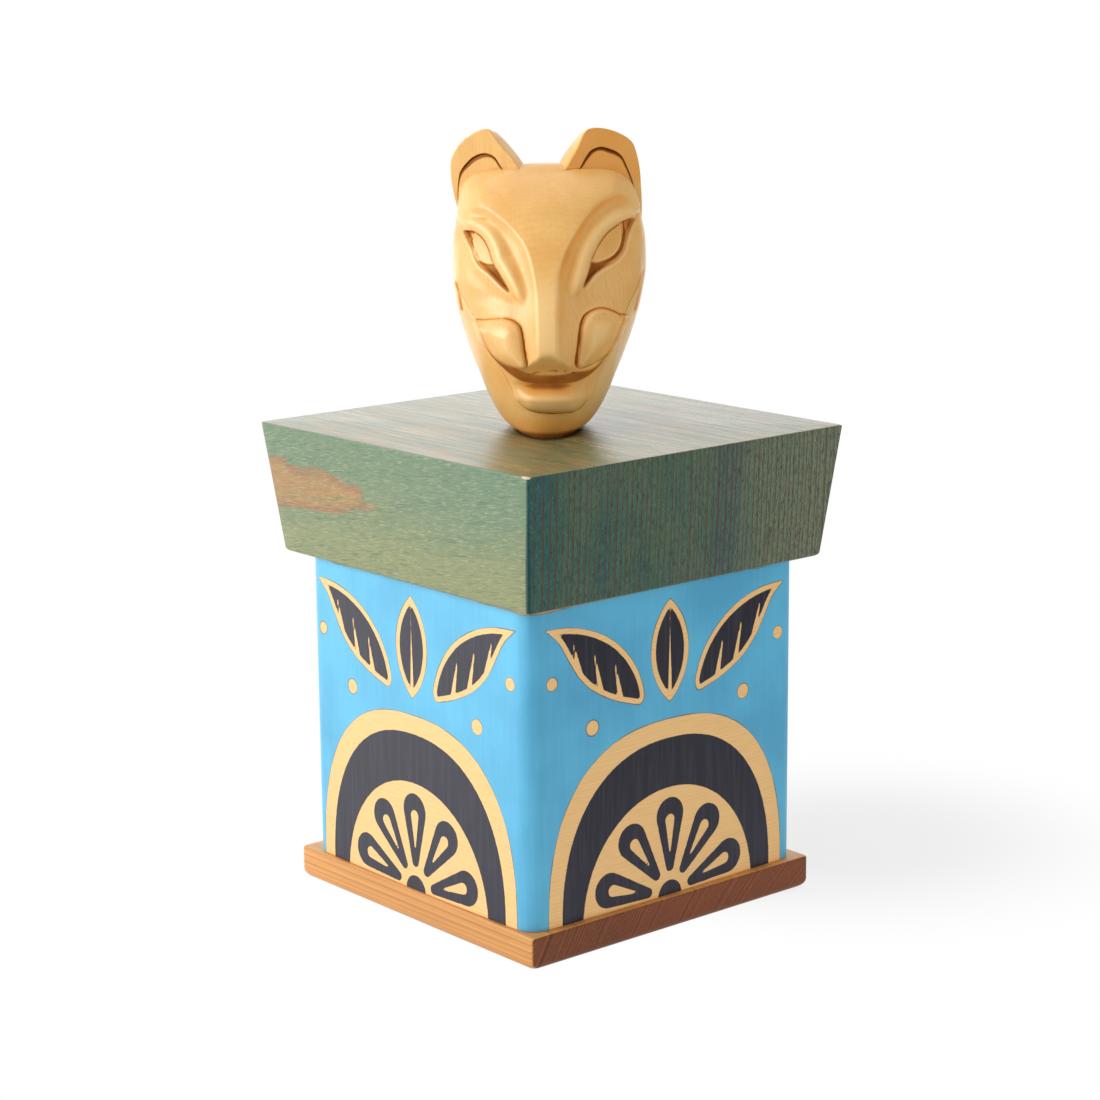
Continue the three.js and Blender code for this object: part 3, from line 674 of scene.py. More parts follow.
def plankSection(values):
    # Plan of the bent plank: its outside anticlockwise from the end of the +Y wall, then its
    # inside clockwise; the flag is 1 along the painted outside
    halfX, halfY = (size / 2 for size in values["size"])
    bow, radius, spacing = values["bow"], values["bendRadius"], values["spacing"]
    edgeX, edgeY = halfX - bow, halfY - bow
    bendX, bendY = edgeX - radius, edgeY - radius
    innerX, innerY = halfX - values["wall"], halfY - values["wall"]
    lapX = edgeX - values["lap"]
    lapRound, gap = values["lapCorner"], values["gap"]
    bend = int(radius * math.pi / 2 / spacing)
    outside = [
        bowedLine((lapX - gap, edgeY), (0, halfY + bow), (-bendX, edgeY), spacing)[:-1],
        arcPoints(-bendX, bendY, radius, 90, 180, bend)[:-1],
        bowedLine((-edgeX, bendY), (-halfX - bow, 0), (-edgeX, -bendY), spacing)[:-1],
        arcPoints(-bendX, -bendY, radius, 180, 270, bend)[:-1],
        bowedLine((-bendX, -edgeY), (0, -halfY - bow), (bendX, -edgeY), spacing)[:-1],
        arcPoints(bendX, -bendY, radius, 270, 360, bend)[:-1],
        bowedLine((edgeX, -bendY), (halfX + bow, 0), (edgeX, edgeY - lapRound), spacing)[:-1],
        arcPoints(edgeX - lapRound, edgeY - lapRound, lapRound, 0, 90, 4),
        [(lapX, edgeY)],
    ]
    inside = [[(lapX, innerY - gap), (innerX, innerY - gap)]]
    for signX, signY in ((1, -1), (-1, -1), (-1, 1)):
        inside.append(kerfPoints(values, signX, signY, bendX, bendY, innerX, innerY))
    inside.append([(lapX - gap, innerY)])
    outside, inside = np.vstack(outside), np.vstack(inside)
    flag = np.concatenate([np.ones(len(outside)), np.zeros(len(inside))])
    return np.vstack([outside, inside]), flag


def sidePlank(values):
    section, painted = plankSection(values)
    ahead = np.roll(section, -1, axis=0) - np.roll(section, 1, axis=0)
    outward = np.column_stack([ahead[:, 1], -ahead[:, 0]])
    outward /= np.linalg.norm(outward, axis=1)[:, None]
    low, tall, edge = values["low"], values["height"], values["edgeRound"]
    rings = []
    for z, inset in easedLevels(low, low + tall, edge, edge, int(tall / values["spacing"]), 3):
        ring = section - outward * (painted * inset)[:, None] + values["centre"]
        rings.append(np.column_stack([ring, np.full(len(ring), z)]))
    return closedSkin("sidePlank", rings, fan=False)


def barRings(radius, start, end, edge=0.0, columns=36):
    # Rings of a round bar from start to end, with its ends eased by a quarter round
    start, end = np.array(start, float), np.array(end, float)
    length = np.linalg.norm(end - start)
    axis = (end - start) / length
    side = np.cross(axis, (0.0, 0.0, 1.0) if abs(axis[2]) < 0.9 else (0.0, 1.0, 0.0))
    side /= np.linalg.norm(side)
    angle = np.linspace(0, 2 * math.pi, columns, endpoint=False)
    circle = np.outer(np.cos(angle), side) + np.outer(np.sin(angle), np.cross(axis, side))
    levels = easedLevels(0, length, edge, edge, 2, 3 if edge else 0)
    return [start + axis * along + circle * (radius - inset) for along, inset in levels]


def pegPlaces(values, sides, base):
    # Start and end of each peg by the name of its node: corner pegs along X through the lap,
    # base pegs upright through the base into the middle of each wall
    (sizeX, sizeY), (centreX, centreY) = sides["size"], sides["centre"]
    wall, low, recess = sides["wall"], sides["low"], values["recess"]
    high = low + sides["height"]
    places = {}
    x = centreX + sizeX / 2 - sides["bow"] - recess
    y = centreY + sizeY / 2 - wall / 2
    margin = values["cornerMargin"]
    heights = np.linspace(low + margin, high - margin, values["cornerCount"])
    for i, z in enumerate(heights):
        places[f"corner_peg_{i + 1}"] = ((x, y, z), (x - values["cornerLength"], y, z))
    acrossX, acrossY = (sizeX - wall) / 2, (sizeY - wall) / 2
    perSide = values["basePerSide"]
    for side in range(4):
        for i in range(perSide):
            along = values["baseSpacing"] * (i / (perSide - 1) - 0.5)
            x = centreX + (acrossX, along, -acrossX, along)[side]
            y = centreY + (along, acrossY, along, -acrossY)[side]
            top = base["high"] + values["intoWall"]
            places[f"base_peg_{side * perSide + i + 1}"] = ((x, y, recess), (x, y, top))
    return places


def pegHoles(values, places, kind):
    # Cutters a little wider than the pegs, which reach out of the wood
    holes = []
    gap = values["clearance"]
    for name, (start, end) in places.items():
        if name.startswith(kind):
            start, end = np.array(start), np.array(end)
            axis = (end - start) / np.linalg.norm(end - start)
            holes.append(barRings(values["diameter"] / 2 + gap, start - 2 * axis, end + gap * axis))
    return closedSkin("holes", *holes)


def taperedBar(x, y, start, end, startRadius, endRadius):
    # Signed depth inside a tapered bar with round ends: the straight flanks touch both circles
    (ax, ay), (bx, by) = start, end
    length = math.hypot(bx - ax, by - ay)
    dx, dy = (bx - ax) / length, (by - ay) / length
    along = (x - ax) * dx + (y - ay) * dy
    across = np.abs((x - ax) * dy - (y - ay) * dx)
    lean = (startRadius - endRadius) / length
    flat = math.sqrt(1 - lean * lean)
    key = flat * along - lean * across
    flank = flat * across + lean * along - startRadius
    first = np.hypot(across, along) - startRadius
    last = np.hypot(across, along - length) - endRadius
    return -np.where(key < 0, first, np.where(key > flat * length, last, flank))


def roundedArch(x, y, halfWidth, height, power, level=0.0):
    # Signed depth inside |x / halfWidth|^power + |y / height|^power = 1, taken along the radius
    reach = np.maximum(np.hypot(x, y - level), 1e-6)
    share = (np.abs(x / halfWidth) ** power + np.abs((y - level) / height) ** power) ** (1 / power)
    return reach / np.maximum(share, 1e-6) - reach


# A generic design in the box's own colours: a fan of split feathers under an arch, with a leaf
# and two feathered sprays above. Every face has it, mirrored about the middle of the face

designValues = {
    "dome": (60.0, 70.0, 2.5),
    "archOutside": (53.5, 62.5, 2.3),
    "archInside": (43.5, 47.0, 2.05),
    "archInsideLevel": -4.0,
    "hubRadius": 6.0,
    "featherTurn": 37.0,
    "featherFrom": 11.5,
    "featherTo": 32.0,
    "featherRadii": (2.0, 6.9),
    "slit": (17.5, 30.0, 0.3, 2.3),
    "leafMiddle": 96.5,
    "leafHeight": 20.0,
    "leafWidth": 9.6,
    "leafEdge": 2.4,
    "sprayEdge": 2.2,
    "ribWidth": 0.9,
    "ribOver": 12.0,  # where the rib ends, over the leaf's middle
    "ribTaper": 30.0,
    "cutRadii": (1.5, 0.25),
    "stripWidth": 2.0,  # bare wood along the top of each face, which widens between these
    "stripFrom": 22.0,
    "stripTo": 66.0,
    "stripSeed": 5,
    "stripWave": (7.0, 40.0),  # its length along the plank and up it
    "stripUneven": (0.75, 0.45),
    "stripEdge": 0.15,
    "rim": 0.2,
    "outsideShare": 0.38,  # of the wall, from its face inwards, that counts as the painted outside
}

sprayOutline = [
    (61, 114), (54.5, 108.5), (50, 101.5), (45, 94), (38, 87.5), (29, 82.6), (20, 79.4), (14.6, 78.4),
    (13, 81), (14.6, 88), (19.4, 96.5), (27.5, 104.5), (38, 110.2), (49, 113.2), (61, 114),
]
sprayCuts = [((24, 79), (27.5, 96)), ((33.5, 83), (37.5, 101.5)), ((43, 90.5), (47.5, 107))]
dots = [(38.5, 73.5, 3.1), (57.5, 93.5, 2.6)]


def paintedFields(values, along, height):
    # Signed depth inside the bare wood and inside the black shapes, in millimetres
    s, h = np.abs(along), height
    bare = roundedArch(s, h, *values["dome"])
    ink = np.minimum(roundedArch(s, h, *values["archOutside"]),
                     -roundedArch(s, h, *values["archInside"], values["archInsideLevel"]))
    ink = np.maximum(ink, values["hubRadius"] - np.hypot(s, h))
    slitFrom, slitTo, slitStart, slitEnd = values["slit"]
    for turn in (0, 1, 2):
        angle = math.radians(turn * values["featherTurn"])
        ray = np.array([math.sin(angle), math.cos(angle)])
        feather = taperedBar(s, h, ray * values["featherFrom"], ray * values["featherTo"],
                             *values["featherRadii"])
        slit = taperedBar(s, h, ray * slitFrom, ray * slitTo, slitStart, slitEnd)
        ink = np.maximum(ink, np.minimum(feather, -slit))
    wide, tall = values["leafWidth"], values["leafHeight"]
    offset = (tall * tall - wide * wide) / (2 * wide)
    leaf = offset + wide - np.hypot(s + offset, h - values["leafMiddle"])
    ribTop = values["leafMiddle"] + values["ribOver"]
    rib = s - values["ribWidth"] * ease(h, ribTop, ribTop - values["ribTaper"])
    bare = np.maximum(bare, leaf)
    ink = np.maximum(ink, np.minimum(leaf - values["leafEdge"], rib))
    spray = depthInside(roundLine(sprayOutline, 8), s, h)
    bare = np.maximum(bare, spray)
    filled = spray - values["sprayEdge"]
    for start, end in sprayCuts:
        filled = np.minimum(filled, -taperedBar(s, h, start, end, *values["cutRadii"]))
    ink = np.maximum(ink, filled)
    for x, y, radius in dots:
        bare = np.maximum(bare, radius - np.hypot(s - x, h - y))
    return bare, ink


def layPaint(piece, values, design):
    # Fields of the painted outside: which face a point is on, how far along and up it is, and
    # where the plank's grain runs round the corners with it
    x, y, z = (pointsOf(piece.data) / mm - (*values["centre"], values["low"])).T
    sizeX, sizeY = values["size"]
    fromX, fromY = np.abs(x) - sizeX / 2, np.abs(y) - sizeY / 2
    onX = fromX > fromY
    along = np.where(onX, y, x)
    unrolled = np.where(onX, np.where(x > 0, 1.5 * (sizeX + sizeY) + y, (sizeX + sizeY) / 2 - y),
                        np.where(y > 0, -x, sizeX + sizeY + x))
    outward = np.maximum(fromX, fromY)
    outside = outward > -design["outsideShare"] * values["wall"]
    bare, ink = paintedFields(design, along, z)
    # A strip along the top is left bare, wider towards the corners and uneven
    waveAlong, waveUp = design["stripWave"]
    least, more = design["stripUneven"]
    wave = valueNoise(unrolled / waveAlong, z / waveUp, design["stripSeed"])
    wide = ease(np.abs(along), design["stripFrom"], design["stripTo"])
    strip = design["stripWidth"] * wide * (least + more * wave)
    under, rim = values["height"] - z, design["rim"]
    bare = np.maximum(bare, strip - under - design["stripEdge"])
    unpainted = ~outside | (under < rim) | (z < rim)
    keepField(piece, "bareDepth", np.clip(np.where(unpainted, 3, bare), -6, 6))
    keepField(piece, "inkDepth", np.clip(np.where(unpainted, -3, ink), -6, 6))
    place = piece.data.attributes.new("plankPlace", "FLOAT_VECTOR", "POINT")
    vector = np.column_stack([unrolled, z, -outward]) * mm
    place.data.foreach_set("vector", vector.astype(np.float32).ravel())


paintValues = {
    "wood": (0.93, 0.57, 0.215),
    "woodLine": (0.74, 0.41, 0.145),
    "blue": (0.080, 0.47, 0.73),
    "blueDark": (0.055, 0.37, 0.61),
    "blueWorn": (0.16, 0.52, 0.74),
    "ink": (0.022, 0.021, 0.034),
    "inkWorn": (0.038, 0.037, 0.053),
    "outline": (0.10, 0.12, 0.14),
    "softEdge": 0.10,  # half the width in millimetres over which one colour gives way to another
    "lineHalf": 0.16,
    "lineSoft": 0.16,
    "ringWidth": 1.45,
    "ringPower": 2.5,
    "ringSlope": 0.35,  # how far the growth lines move along with the depth
    "ringWave": 12.0,
    "lineStrength": 0.85,
    "shakeReach": 0.35,
    # Fits: from and to, and what they give
    "lineThins": (0.35, 0.7, 0.35, 1.2),
    "fineLines": (0.35, 0.75, 0.0, 0.30),
    "darkBlue": (0.42, 0.90),
    "wornBlue": (0.62, 0.8, 0.0, 0.35),
    "speckBlue": (0.70, 0.78, 0.0, 0.35),
    "wornInk": (0.4, 0.75),
    # Noises: scale, detail, roughness and stretch
    "shake": (420.0,),
    "lineWidth": (60.0,),
    "wave": (30.0, 2.0, 0.5, (0.25, 1, 1)),
    "fine": (1500.0, 2.0, 0.5, (0.06, 1, 1)),
    "brush": (700.0, 3.0, 0.5, (1, 0.045, 1)),
    "cloud": (28.0, 3.0),
    "worn": (240.0, 3.0, 0.65),
    "speck": (900.0, 2.0, 0.7),
}


def paintedWoodMaterial(values):
    recipe = surfaceRecipe("paintedCedar")
    place = recipe.field("plankPlace", "Vector")
    shake, lineWidth, wave, fine = recipe.noises(place, values, "shake", "lineWidth", "wave", "fine")
    brush, cloud, worn, speck = recipe.noises(place, values, "brush", "cloud", "worn", "speck")
    shake = (shake - 0.5) * values["shakeReach"]
    bareDepth, inkDepth = (recipe.field(name) + shake for name in ("bareDepth", "inkDepth"))
    soft, lineHalf = values["softEdge"], values["lineHalf"]
    bareShare, inkShare = bareDepth.fit(-soft, soft), inkDepth.fit(-soft, soft)
    fromLine = abs(bareDepth) / lineWidth.fit(*values["lineThins"])
    lineShare = fromLine.fit(lineHalf, lineHalf + values["lineSoft"], values["lineStrength"], 0.0)

    # Wood: growth lines along the plank, bowed by a slow wave, and fine fibres
    x, y, z = recipe.parts(place)
    rings = wave * (values["ringWave"] * mm) + z * values["ringSlope"] + y
    ring = (rings / (values["ringWidth"] * mm)).sum("FRACT")
    woodShare = ring ** values["ringPower"] * 0.30 + fine.fit(*values["fineLines"])
    wood = recipe.mix(woodShare, values["wood"], values["woodLine"])

    # Paint: brushed up and down, cloudy, worn and flecked
    blue = recipe.mix((brush * 0.3 + cloud).fit(*values["darkBlue"]), values["blue"], values["blueDark"])
    blue = blue.under(worn.fit(*values["wornBlue"]), values["blueWorn"])
    blue = blue.under(speck.fit(*values["speckBlue"]), values["blueDark"])
    ink = recipe.mix(brush.fit(*values["wornInk"]), values["ink"], values["inkWorn"])

    painted = blue.under(bareShare, wood).under(lineShare, values["outline"]).under(inkShare, ink)
    covered = (bareShare * -1.0 + 1.0).orMore(inkShare)
    height = covered * 0.45 + fine * 0.5 - ring * 0.15 + brush * 0.12
    return recipe.use(Base_Color=painted, Roughness=covered * -0.08 + 0.55,
                      Specular_IOR_Level=inkShare * -0.6 + 1.0, Normal=recipe.bump(height, 0.10, 0.45))


pegPlace = pegPlaces(pegValues, sideValues, baseValues)
plank = sidePlank(sideValues)
combine(plank, pegHoles(pegValues, pegPlace, "corner_peg"), "DIFFERENCE")
combine(plank, pegHoles(pegValues, pegPlace, "base_peg"), "DIFFERENCE")
layPaint(plank, sideValues, designValues)
paintedWood = paintedWoodMaterial(paintValues)
finishPiece(plank, "painted_plank", paintedWood, "box", "painted_sides", "side_plank")
combine(baseBoard, pegHoles(pegValues, pegPlace, "base_peg"), "DIFFERENCE")
finishPiece(baseBoard, "cedar_base", satinCedar, "box", "base_wood", "base_board")
print("sides made:", len(plank.data.polygons), "faces")


pegWoodValues = {
    "pale": (0.66, 0.40, 0.19),
    "dark": (0.36, 0.19, 0.09),
    "pores": (2600.0, 3.0, 0.7),  # noises: scale, detail and roughness
    "cloud": (500.0,),
    "darkShare": (0.8, 1.35),  # of both noises together
}


def pegMaterial(values):
    recipe = surfaceRecipe("pegWood", Roughness=0.5)
    pores, cloud = recipe.noises(recipe.place(), values, "pores", "cloud")
    colour = recipe.mix((pores + cloud).fit(*values["darkShare"]), values["pale"], values["dark"])
    return recipe.use(Base_Color=colour, Normal=recipe.bump(pores, 0.08, 0.6))


pegWood = pegMaterial(pegWoodValues)
for node, (start, end) in pegPlace.items():
    peg = closedSkin(node, barRings(pegValues["diameter"] / 2, start, end, pegValues["endRound"]))
    finishPiece(peg, node + "_turned", pegWood, "box", "peg_wood", node)
print("pegs made:", len(pegPlace))

# Lid: a thick cedar block with undercut sides, stained green; its grain runs along Y

lidValues = {
    "bottom": (148.0, 149.5),
    "top": (160.0, 161.0),
    "low": 135.2,
    "high": 186.8,
    "bottomRound": 1.6,
    "topRound": 0.7,
    "corner": 1.2,
    "planed": 1.6,  # how far the -X face moves in at its front top corner
    "plugDepth": 6.0,
    "plugClearance": 1.2,
    "plugRound": 2.0,
    "plugChamfer": 1.0,
    "plugInside": 12.0,  # how far it runs up into the block, to be one with it
}

stainValues = {
    "axis": (-900.0, 109.0),  # the tree's middle, far outside the left face: the rings stand upright
    "firstRing": 821.0,  # its distance to that face
    "ringWidth": 2.35,
    "uneven": 1.1,
    "unevenScale": 170.0,
    "ringPower": 4.0,
    "wideRings": 4.2,  # rings fewer than even ones would be, near that face
    "wideReach": 18.0,
    "wave": 1.6,
    "waveScale": 14.0,
    "olive": (0.235, 0.255, 0.115),
    "green": (0.160, 0.225, 0.125),
    "teal": (0.070, 0.190, 0.140),
    "darkFibre": (0.035, 0.110, 0.085),
    "paleFibre": (0.44, 0.44, 0.26),
    "topGreen": (0.052, 0.140, 0.075),
    "topGold": (0.39, 0.25, 0.082),
    "topRose": (0.27, 0.12, 0.075),
    # A painted contact shadow on the top, round the foot of the head
    "footMiddle": (-3.9, -4.5, 186.8),
    "footTurn": 41.0,
    "footHalf": (12.4, 30.4, 1000.0),
    "footEdge": (1.03, 1.14),  # shares of that size between which the dark ring fades
    "footShadow": (0.010, 0.014, 0.010),
    "endTeal": (0.022, 0.122, 0.105),
    "endGreen": (0.086, 0.160, 0.100),
    "endBlue": (0.020, 0.115, 0.150),
    "endDark": (0.022, 0.045, 0.035),
    "endPale": (0.24, 0.26, 0.17),
    "endLine": (0.120, 0.036, 0.026),
    "endWarm": (0.26, 0.28, 0.175),
    "edgeTeal": (0.008, 0.055, 0.060),
    "tilt": 0.13,  # on the sides the grain rises towards the front by this share
    "bareWood": (0.40, 0.20, 0.070),
    "bareRose": (0.34, 0.135, 0.065),
    # A pale mark on the top of the front corner: worn wood with a painted highlight
    "wornGlintColour": (0.72, 0.58, 0.42),
    "wornGlintReach": 1.2,
    "wornGlintFlat": (1.0, 0.5, 2.2),  # it is long along the -Y face and low
    "wornGlintMiddle": (0.6, 1.2),  # how far in from the sharp corner
    "topShare": (0.6, 0.85),  # how far a face looks up, or along the grain
    "endShare": (0.5, 0.8),
    # Fits of a noise or a share: from and to, and what they give
    "greenRise": (0.0, 0.75),
    "tealRise": (0.5, 1.3, 0.0, 0.4),
    "tealStreaks": (0.5, 0.8, 0.0, 0.24),
    "bareOlive": (0.45, 0.7, 0.0, 0.45),
    "darkFibres": (0.48, 0.68),
    "darkStreaks": (0.30, 0.62, 0.217, 0.62),
    "paleFibres": (0.50, 0.68, 0.0, 0.50),
    "topLines": (0.47, 0.56),
    "topFibres": (0.54, 0.64, 0.0, 0.6),
    "tealBlotches": (0.36, 0.66, 0.05, 0.6),
    "blueBlotches": (0.60, 0.70, 0.0, 0.35),
    "warmGrains": (0.35, 0.65, 0.85, 0.35),
    "darkPores": (0.48, 0.66, 0.0, 0.85),
    "paleGrains": (0.56, 0.74, 0.0, 0.45),
    "brokenPores": (0.38, 0.58, 0.85, 0.25),
    "brokenRings": (0.35, 0.8),
    "roughStreaks": (0.3, 0.7, 0.40, 0.48),
    # Fits of a length in millimetres
    "leftFace": (-70.0, -73.0, 0.0, 0.92),
    "bareEdge": (0.0, 0.8),
    "bareInside": (0.8, 5.0),
    "bareFray": 6.0,
    "nearCorner": (-78.0, -45.0, 0.55, 0.0),
    "farSide": (-20.0, 85.0),
    "bandStart": (12.0, 15.0),
    "bandEnd": (28.0, 26.0),
    "cornerLine": (0.6, 1.3, 0.85, 0.0),
    "cornerShake": 2.0,
    "cornerRubbed": (20.0, 60.0, 0.9, 0.0),
    "edgeRubbed": (0.5, 0.9),
    "wornGlintFray": 1.5,
    # Noises: scale, detail, roughness and stretch along X, Y and Z. The first five run with the
    # grain, which is tilted on the sides
    "fibre": (2600.0, 2.0, 0.6, (1, 0.05, 1)),
    "thin": (3000.0, 2.0, 0.7, (1, 0.07, 1)),
    "streak": (420.0, 3.0, 0.6, (1, 0.03, 1)),
    "fray": (420.0, 3.0, 0.6, (1, 0.07, 1)),
    "polished": (2400.0, 2.0, 0.6, (1, 0.015, 1)),
    "cloud": (30.0, 3.0, 0.5, (1, 0.35, 1)),
    "pores": (2600.0, 2.0, 0.7, (1, 0.25, 0.14)),
    "grains": (3300.0, 1.0, 0.6, (1, 0.3, 0.3)),
    "blotch": (60.0, 3.0, 0.6, (1, 1, 0.45)),
}

# The bare patch on the -X face, which runs in from its far end: its upper and its lower edge,
# z over y
patchUpper = [(7.5, 163.3), (18, 164.4), (18.8, 168.7), (28, 169.7), (34, 171.6), (40, 172.7), (50, 172),
              (63, 171.3), (67, 174.2), (82, 174.6)]
patchLower = [(7.5, 163.3), (14, 160.4), (24, 158.5), (31, 156.6), (39, 155.7), (61, 154), (82, 152.6)]


def planeFrontCorner(lid, values):
    # The move grows with the height, with the nearness to the front corner and to the -X face
    points = pointsOf(lid.data) / mm
    height = np.clip((points[:, 2] - values["low"]) / (values["high"] - values["low"]), 0, 1)
    front = np.clip(0.5 - points[:, 1] / values["top"][1], 0, 1)
    side = np.clip(-2 * points[:, 0] / values["top"][0], 0, 1)
    points[:, 0] += values["planed"] * height * front * side
    movePoints(lid, points)


def buildLid(values, sides):
    lid = roundedBlock("lid", values, perSide=24, perHeight=12)
    planeFrontCorner(lid, values)
    size = [across - 2 * (sides["wall"] + values["plugClearance"]) for across in sides["size"]]
    low, chamfer = values["low"] - values["plugDepth"], values["plugChamfer"]
    levels = [(low, chamfer), (low + chamfer, 0.0), (values["low"] + values["plugInside"], 0.0)]
    combine(lid, steppedBlock("plug", size, values["plugRound"], levels, sides["centre"]), "UNION")
    return lid


def stainedSides(values, lid, recipe, x, y, z, noises):
    # Olive below and green above, teal streaks, a bare patch frayed along the grain, and dark and
    # pale fibres
    fibre, streak, cloud = noises["fibre"], noises["streak"], noises["cloud"]
    rise = z.across(lid["low"], lid["high"], smooth=False) + cloud * 0.9 - 0.45
    side = recipe.mix(rise.fit(*values["greenRise"]), values["olive"], values["green"])
    tealShare = rise.fit(*values["tealRise"]) + streak.fit(*values["tealStreaks"])
    side = side.under(tealShare, values["teal"])
    level = z + (noises["fray"] - 0.5) * (values["bareFray"] * mm)
    inside = (recipe.graph(y, patchUpper) - level).orLess(level - recipe.graph(y, patchLower))
    bare = recipe.mix(inside.across(*values["bareInside"]), values["bareRose"], values["bareWood"])
    bare = bare.under(streak.fit(*values["bareOlive"]), values["olive"])
    patch = inside.across(*values["bareEdge"]) * x.across(*values["leftFace"], smooth=False)
    dark = fibre.fit(*values["darkFibres"]) * streak.fit(*values["darkStreaks"])
    side = side.under(patch, bare).under(dark, values["darkFibre"])
    return side.under(noises["thin"].fit(*values["paleFibres"]), values["paleFibre"])


def stainedTop(values, recipe, place, edge, noises):
    # Fine green and gold lines, and a painted contact shadow that darkens the wood along the foot of the
    # head
    top = recipe.mix(noises["polished"].fit(*values["topLines"]), values["topGreen"], values["topGold"])
    top = top.under(noises["fibre"].fit(*values["topFibres"]), values["topRose"])
    top = top.under(edge * 0.7, values["darkFibre"])
    middle = tuple(a * mm for a in values["footMiddle"])
    fromHead = recipe.node("VectorMath", {0: place, 1: middle}, operation="SUBTRACT")
    turned = recipe.node("VectorRotate", {0: fromHead, "Angle": math.radians(values["footTurn"])},
                         rotation_type="Z_AXIS")
    shrunk = recipe.stretch(turned, [1 / (half * mm) for half in values["footHalf"]])
    foot = recipe.distance(shrunk, (0, 0, 0)).fit(*values["footEdge"], 0.9, 0.0)
    return top.under(foot, values["footShadow"])


def stainedEnds(values, recipe, x, ring, edge, noises):
    # End grain: teal near the front corner, greener and then warmer towards the far side, with blue
    # patches, dark pores, pale flecks and brown growth lines, some of them broad in one band
    blotch, grains, pores = (noises[key] for key in ("blotch", "grains", "pores"))
    tealShare = blotch.fit(*values["tealBlotches"]) + x.across(*values["nearCorner"])
    end = recipe.mix(tealShare, values["endGreen"], values["endTeal"])
    end = end.under(blotch.fit(*values["blueBlotches"]), values["endBlue"])
    warm = x.across(*values["farSide"]) * grains.fit(*values["warmGrains"])
    band = x.across(*values["bandStart"]) * x.across(*values["bandEnd"])
    end = end.under(warm, values["endWarm"]).under(band * 0.35, values["endBlue"])
    end = end.under(pores.fit(*values["darkPores"]), values["endDark"])
    end = end.under(grains.fit(*values["paleGrains"]), values["endPale"])
    broad = band * pores.fit(*values["brokenPores"]) * ring.fit(*values["brokenRings"])
    return end.under(broad.orMore(edge * 0.95), values["endLine"])


def frontCornerWear(values, lid, recipe, colour, place, fromCorner, z, fray):
    # A dark teal line runs along the front corner. The lower edge near it is rubbed bare, and the top of
    # the
    # corner has a pale mark: worn wood with a painted highlight
    colour = colour.under(fromCorner.across(*values["cornerLine"]), values["edgeTeal"])
    start, end = (lid["low"] + over for over in values["edgeRubbed"])
    rubbed = z.across(start, end, 1.0, 0.0) * fromCorner.across(*values["cornerRubbed"])
    colour = colour.under(rubbed, values["bareWood"])
    (inX, inY), flat, reach = values["wornGlintMiddle"], values["wornGlintFlat"], values["wornGlintReach"]
    middle = (lid["planed"] - lid["top"][0] / 2 + inX, inY - lid["top"][1] / 2, lid["high"])
    away = recipe.distance(recipe.stretch(place, flat), [a * b * mm for a, b in zip(middle, flat)])
    away = away + (fray - 0.5) * (values["wornGlintFray"] * mm)
    return colour.under(away.across(0.8 * reach, 1.3 * reach, 0.9, 0.0), values["wornGlintColour"])


def stainMaterial(values, lid):
    recipe = surfaceRecipe("greenStain")
    place = recipe.place()
    x, y, z = recipe.parts(place)
    # Growth rings, counted in from the left face, near which they are wide
    inward = ringRadius(recipe, values, (x, z), values["axis"], (1, 0.12, 1)) - values["firstRing"] * mm
    wide = (inward / (-values["wideReach"] * mm)).sum("EXPONENT") * values["wideRings"]
    even = inward / (values["ringWidth"] * mm)
    uneven = recipe.unevenness(inward, values["unevenScale"]) * values["uneven"]
    ring = (uneven + wide + even).sum("FRACT")
    edge = ring ** values["ringPower"]

    normal = recipe.normal()
    onTop, onEnd = normal[2].fit(*values["topShare"]), abs(normal[1]).fit(*values["endShare"])
    tilted = z + (onTop * -values["tilt"] + values["tilt"]) * y
    grain = recipe.node("CombineXYZ", {0: x, 1: y, 2: tilted})
    noises = {key: recipe.noise(where, *values[key]) for where, keys in
              ((grain, ("fibre", "thin", "streak", "fray", "polished")),
               (place, ("cloud", "pores", "grains", "blotch"))) for key in keys}

    side = stainedSides(values, lid, recipe, x, y, z, noises)
    top = stainedTop(values, recipe, place, edge, noises)
    end = stainedEnds(values, recipe, x, ring, edge, noises)
    # The distance from the front corner is the same on both faces: the sum of x and y, less what
    # the faces' slopes add to it
    tall = lid["high"] - lid["low"]
    lean = sum(b - a for a, b in zip(lid["bottom"], lid["top"])) / 2 / tall - lid["planed"] / tall
    reach = sum(lid["bottom"]) / 2 - lean * lid["low"]
    shake = (noises["cloud"] - 0.5) * (values["cornerShake"] * mm)
    fromCorner = x + y + z * lean + reach * mm + shake
    colour = side.under(onTop, top).under(onEnd, end)
    colour = frontCornerWear(values, lid, recipe, colour, place, fromCorner, z, noises["fray"])

    rough = noises["streak"].fit(*values["roughStreaks"]) - onTop * 0.14 + onEnd * 0.15
    shine = onTop * 0.18 - onEnd * 0.13 + 0.38
    height = noises["fibre"] + noises["pores"] * 0.4 - edge * 0.7
    return recipe.use(Base_Color=colour, Roughness=rough, Specular_IOR_Level=shine,
                      Normal=recipe.bump(height, 0.10, 0.5))


# Head: an animal's head in yellow cedar, oiled, with painted shade in its cuts. It is drawn in its own
# directions, u to the viewer's right, v out of the face and w up from the lid

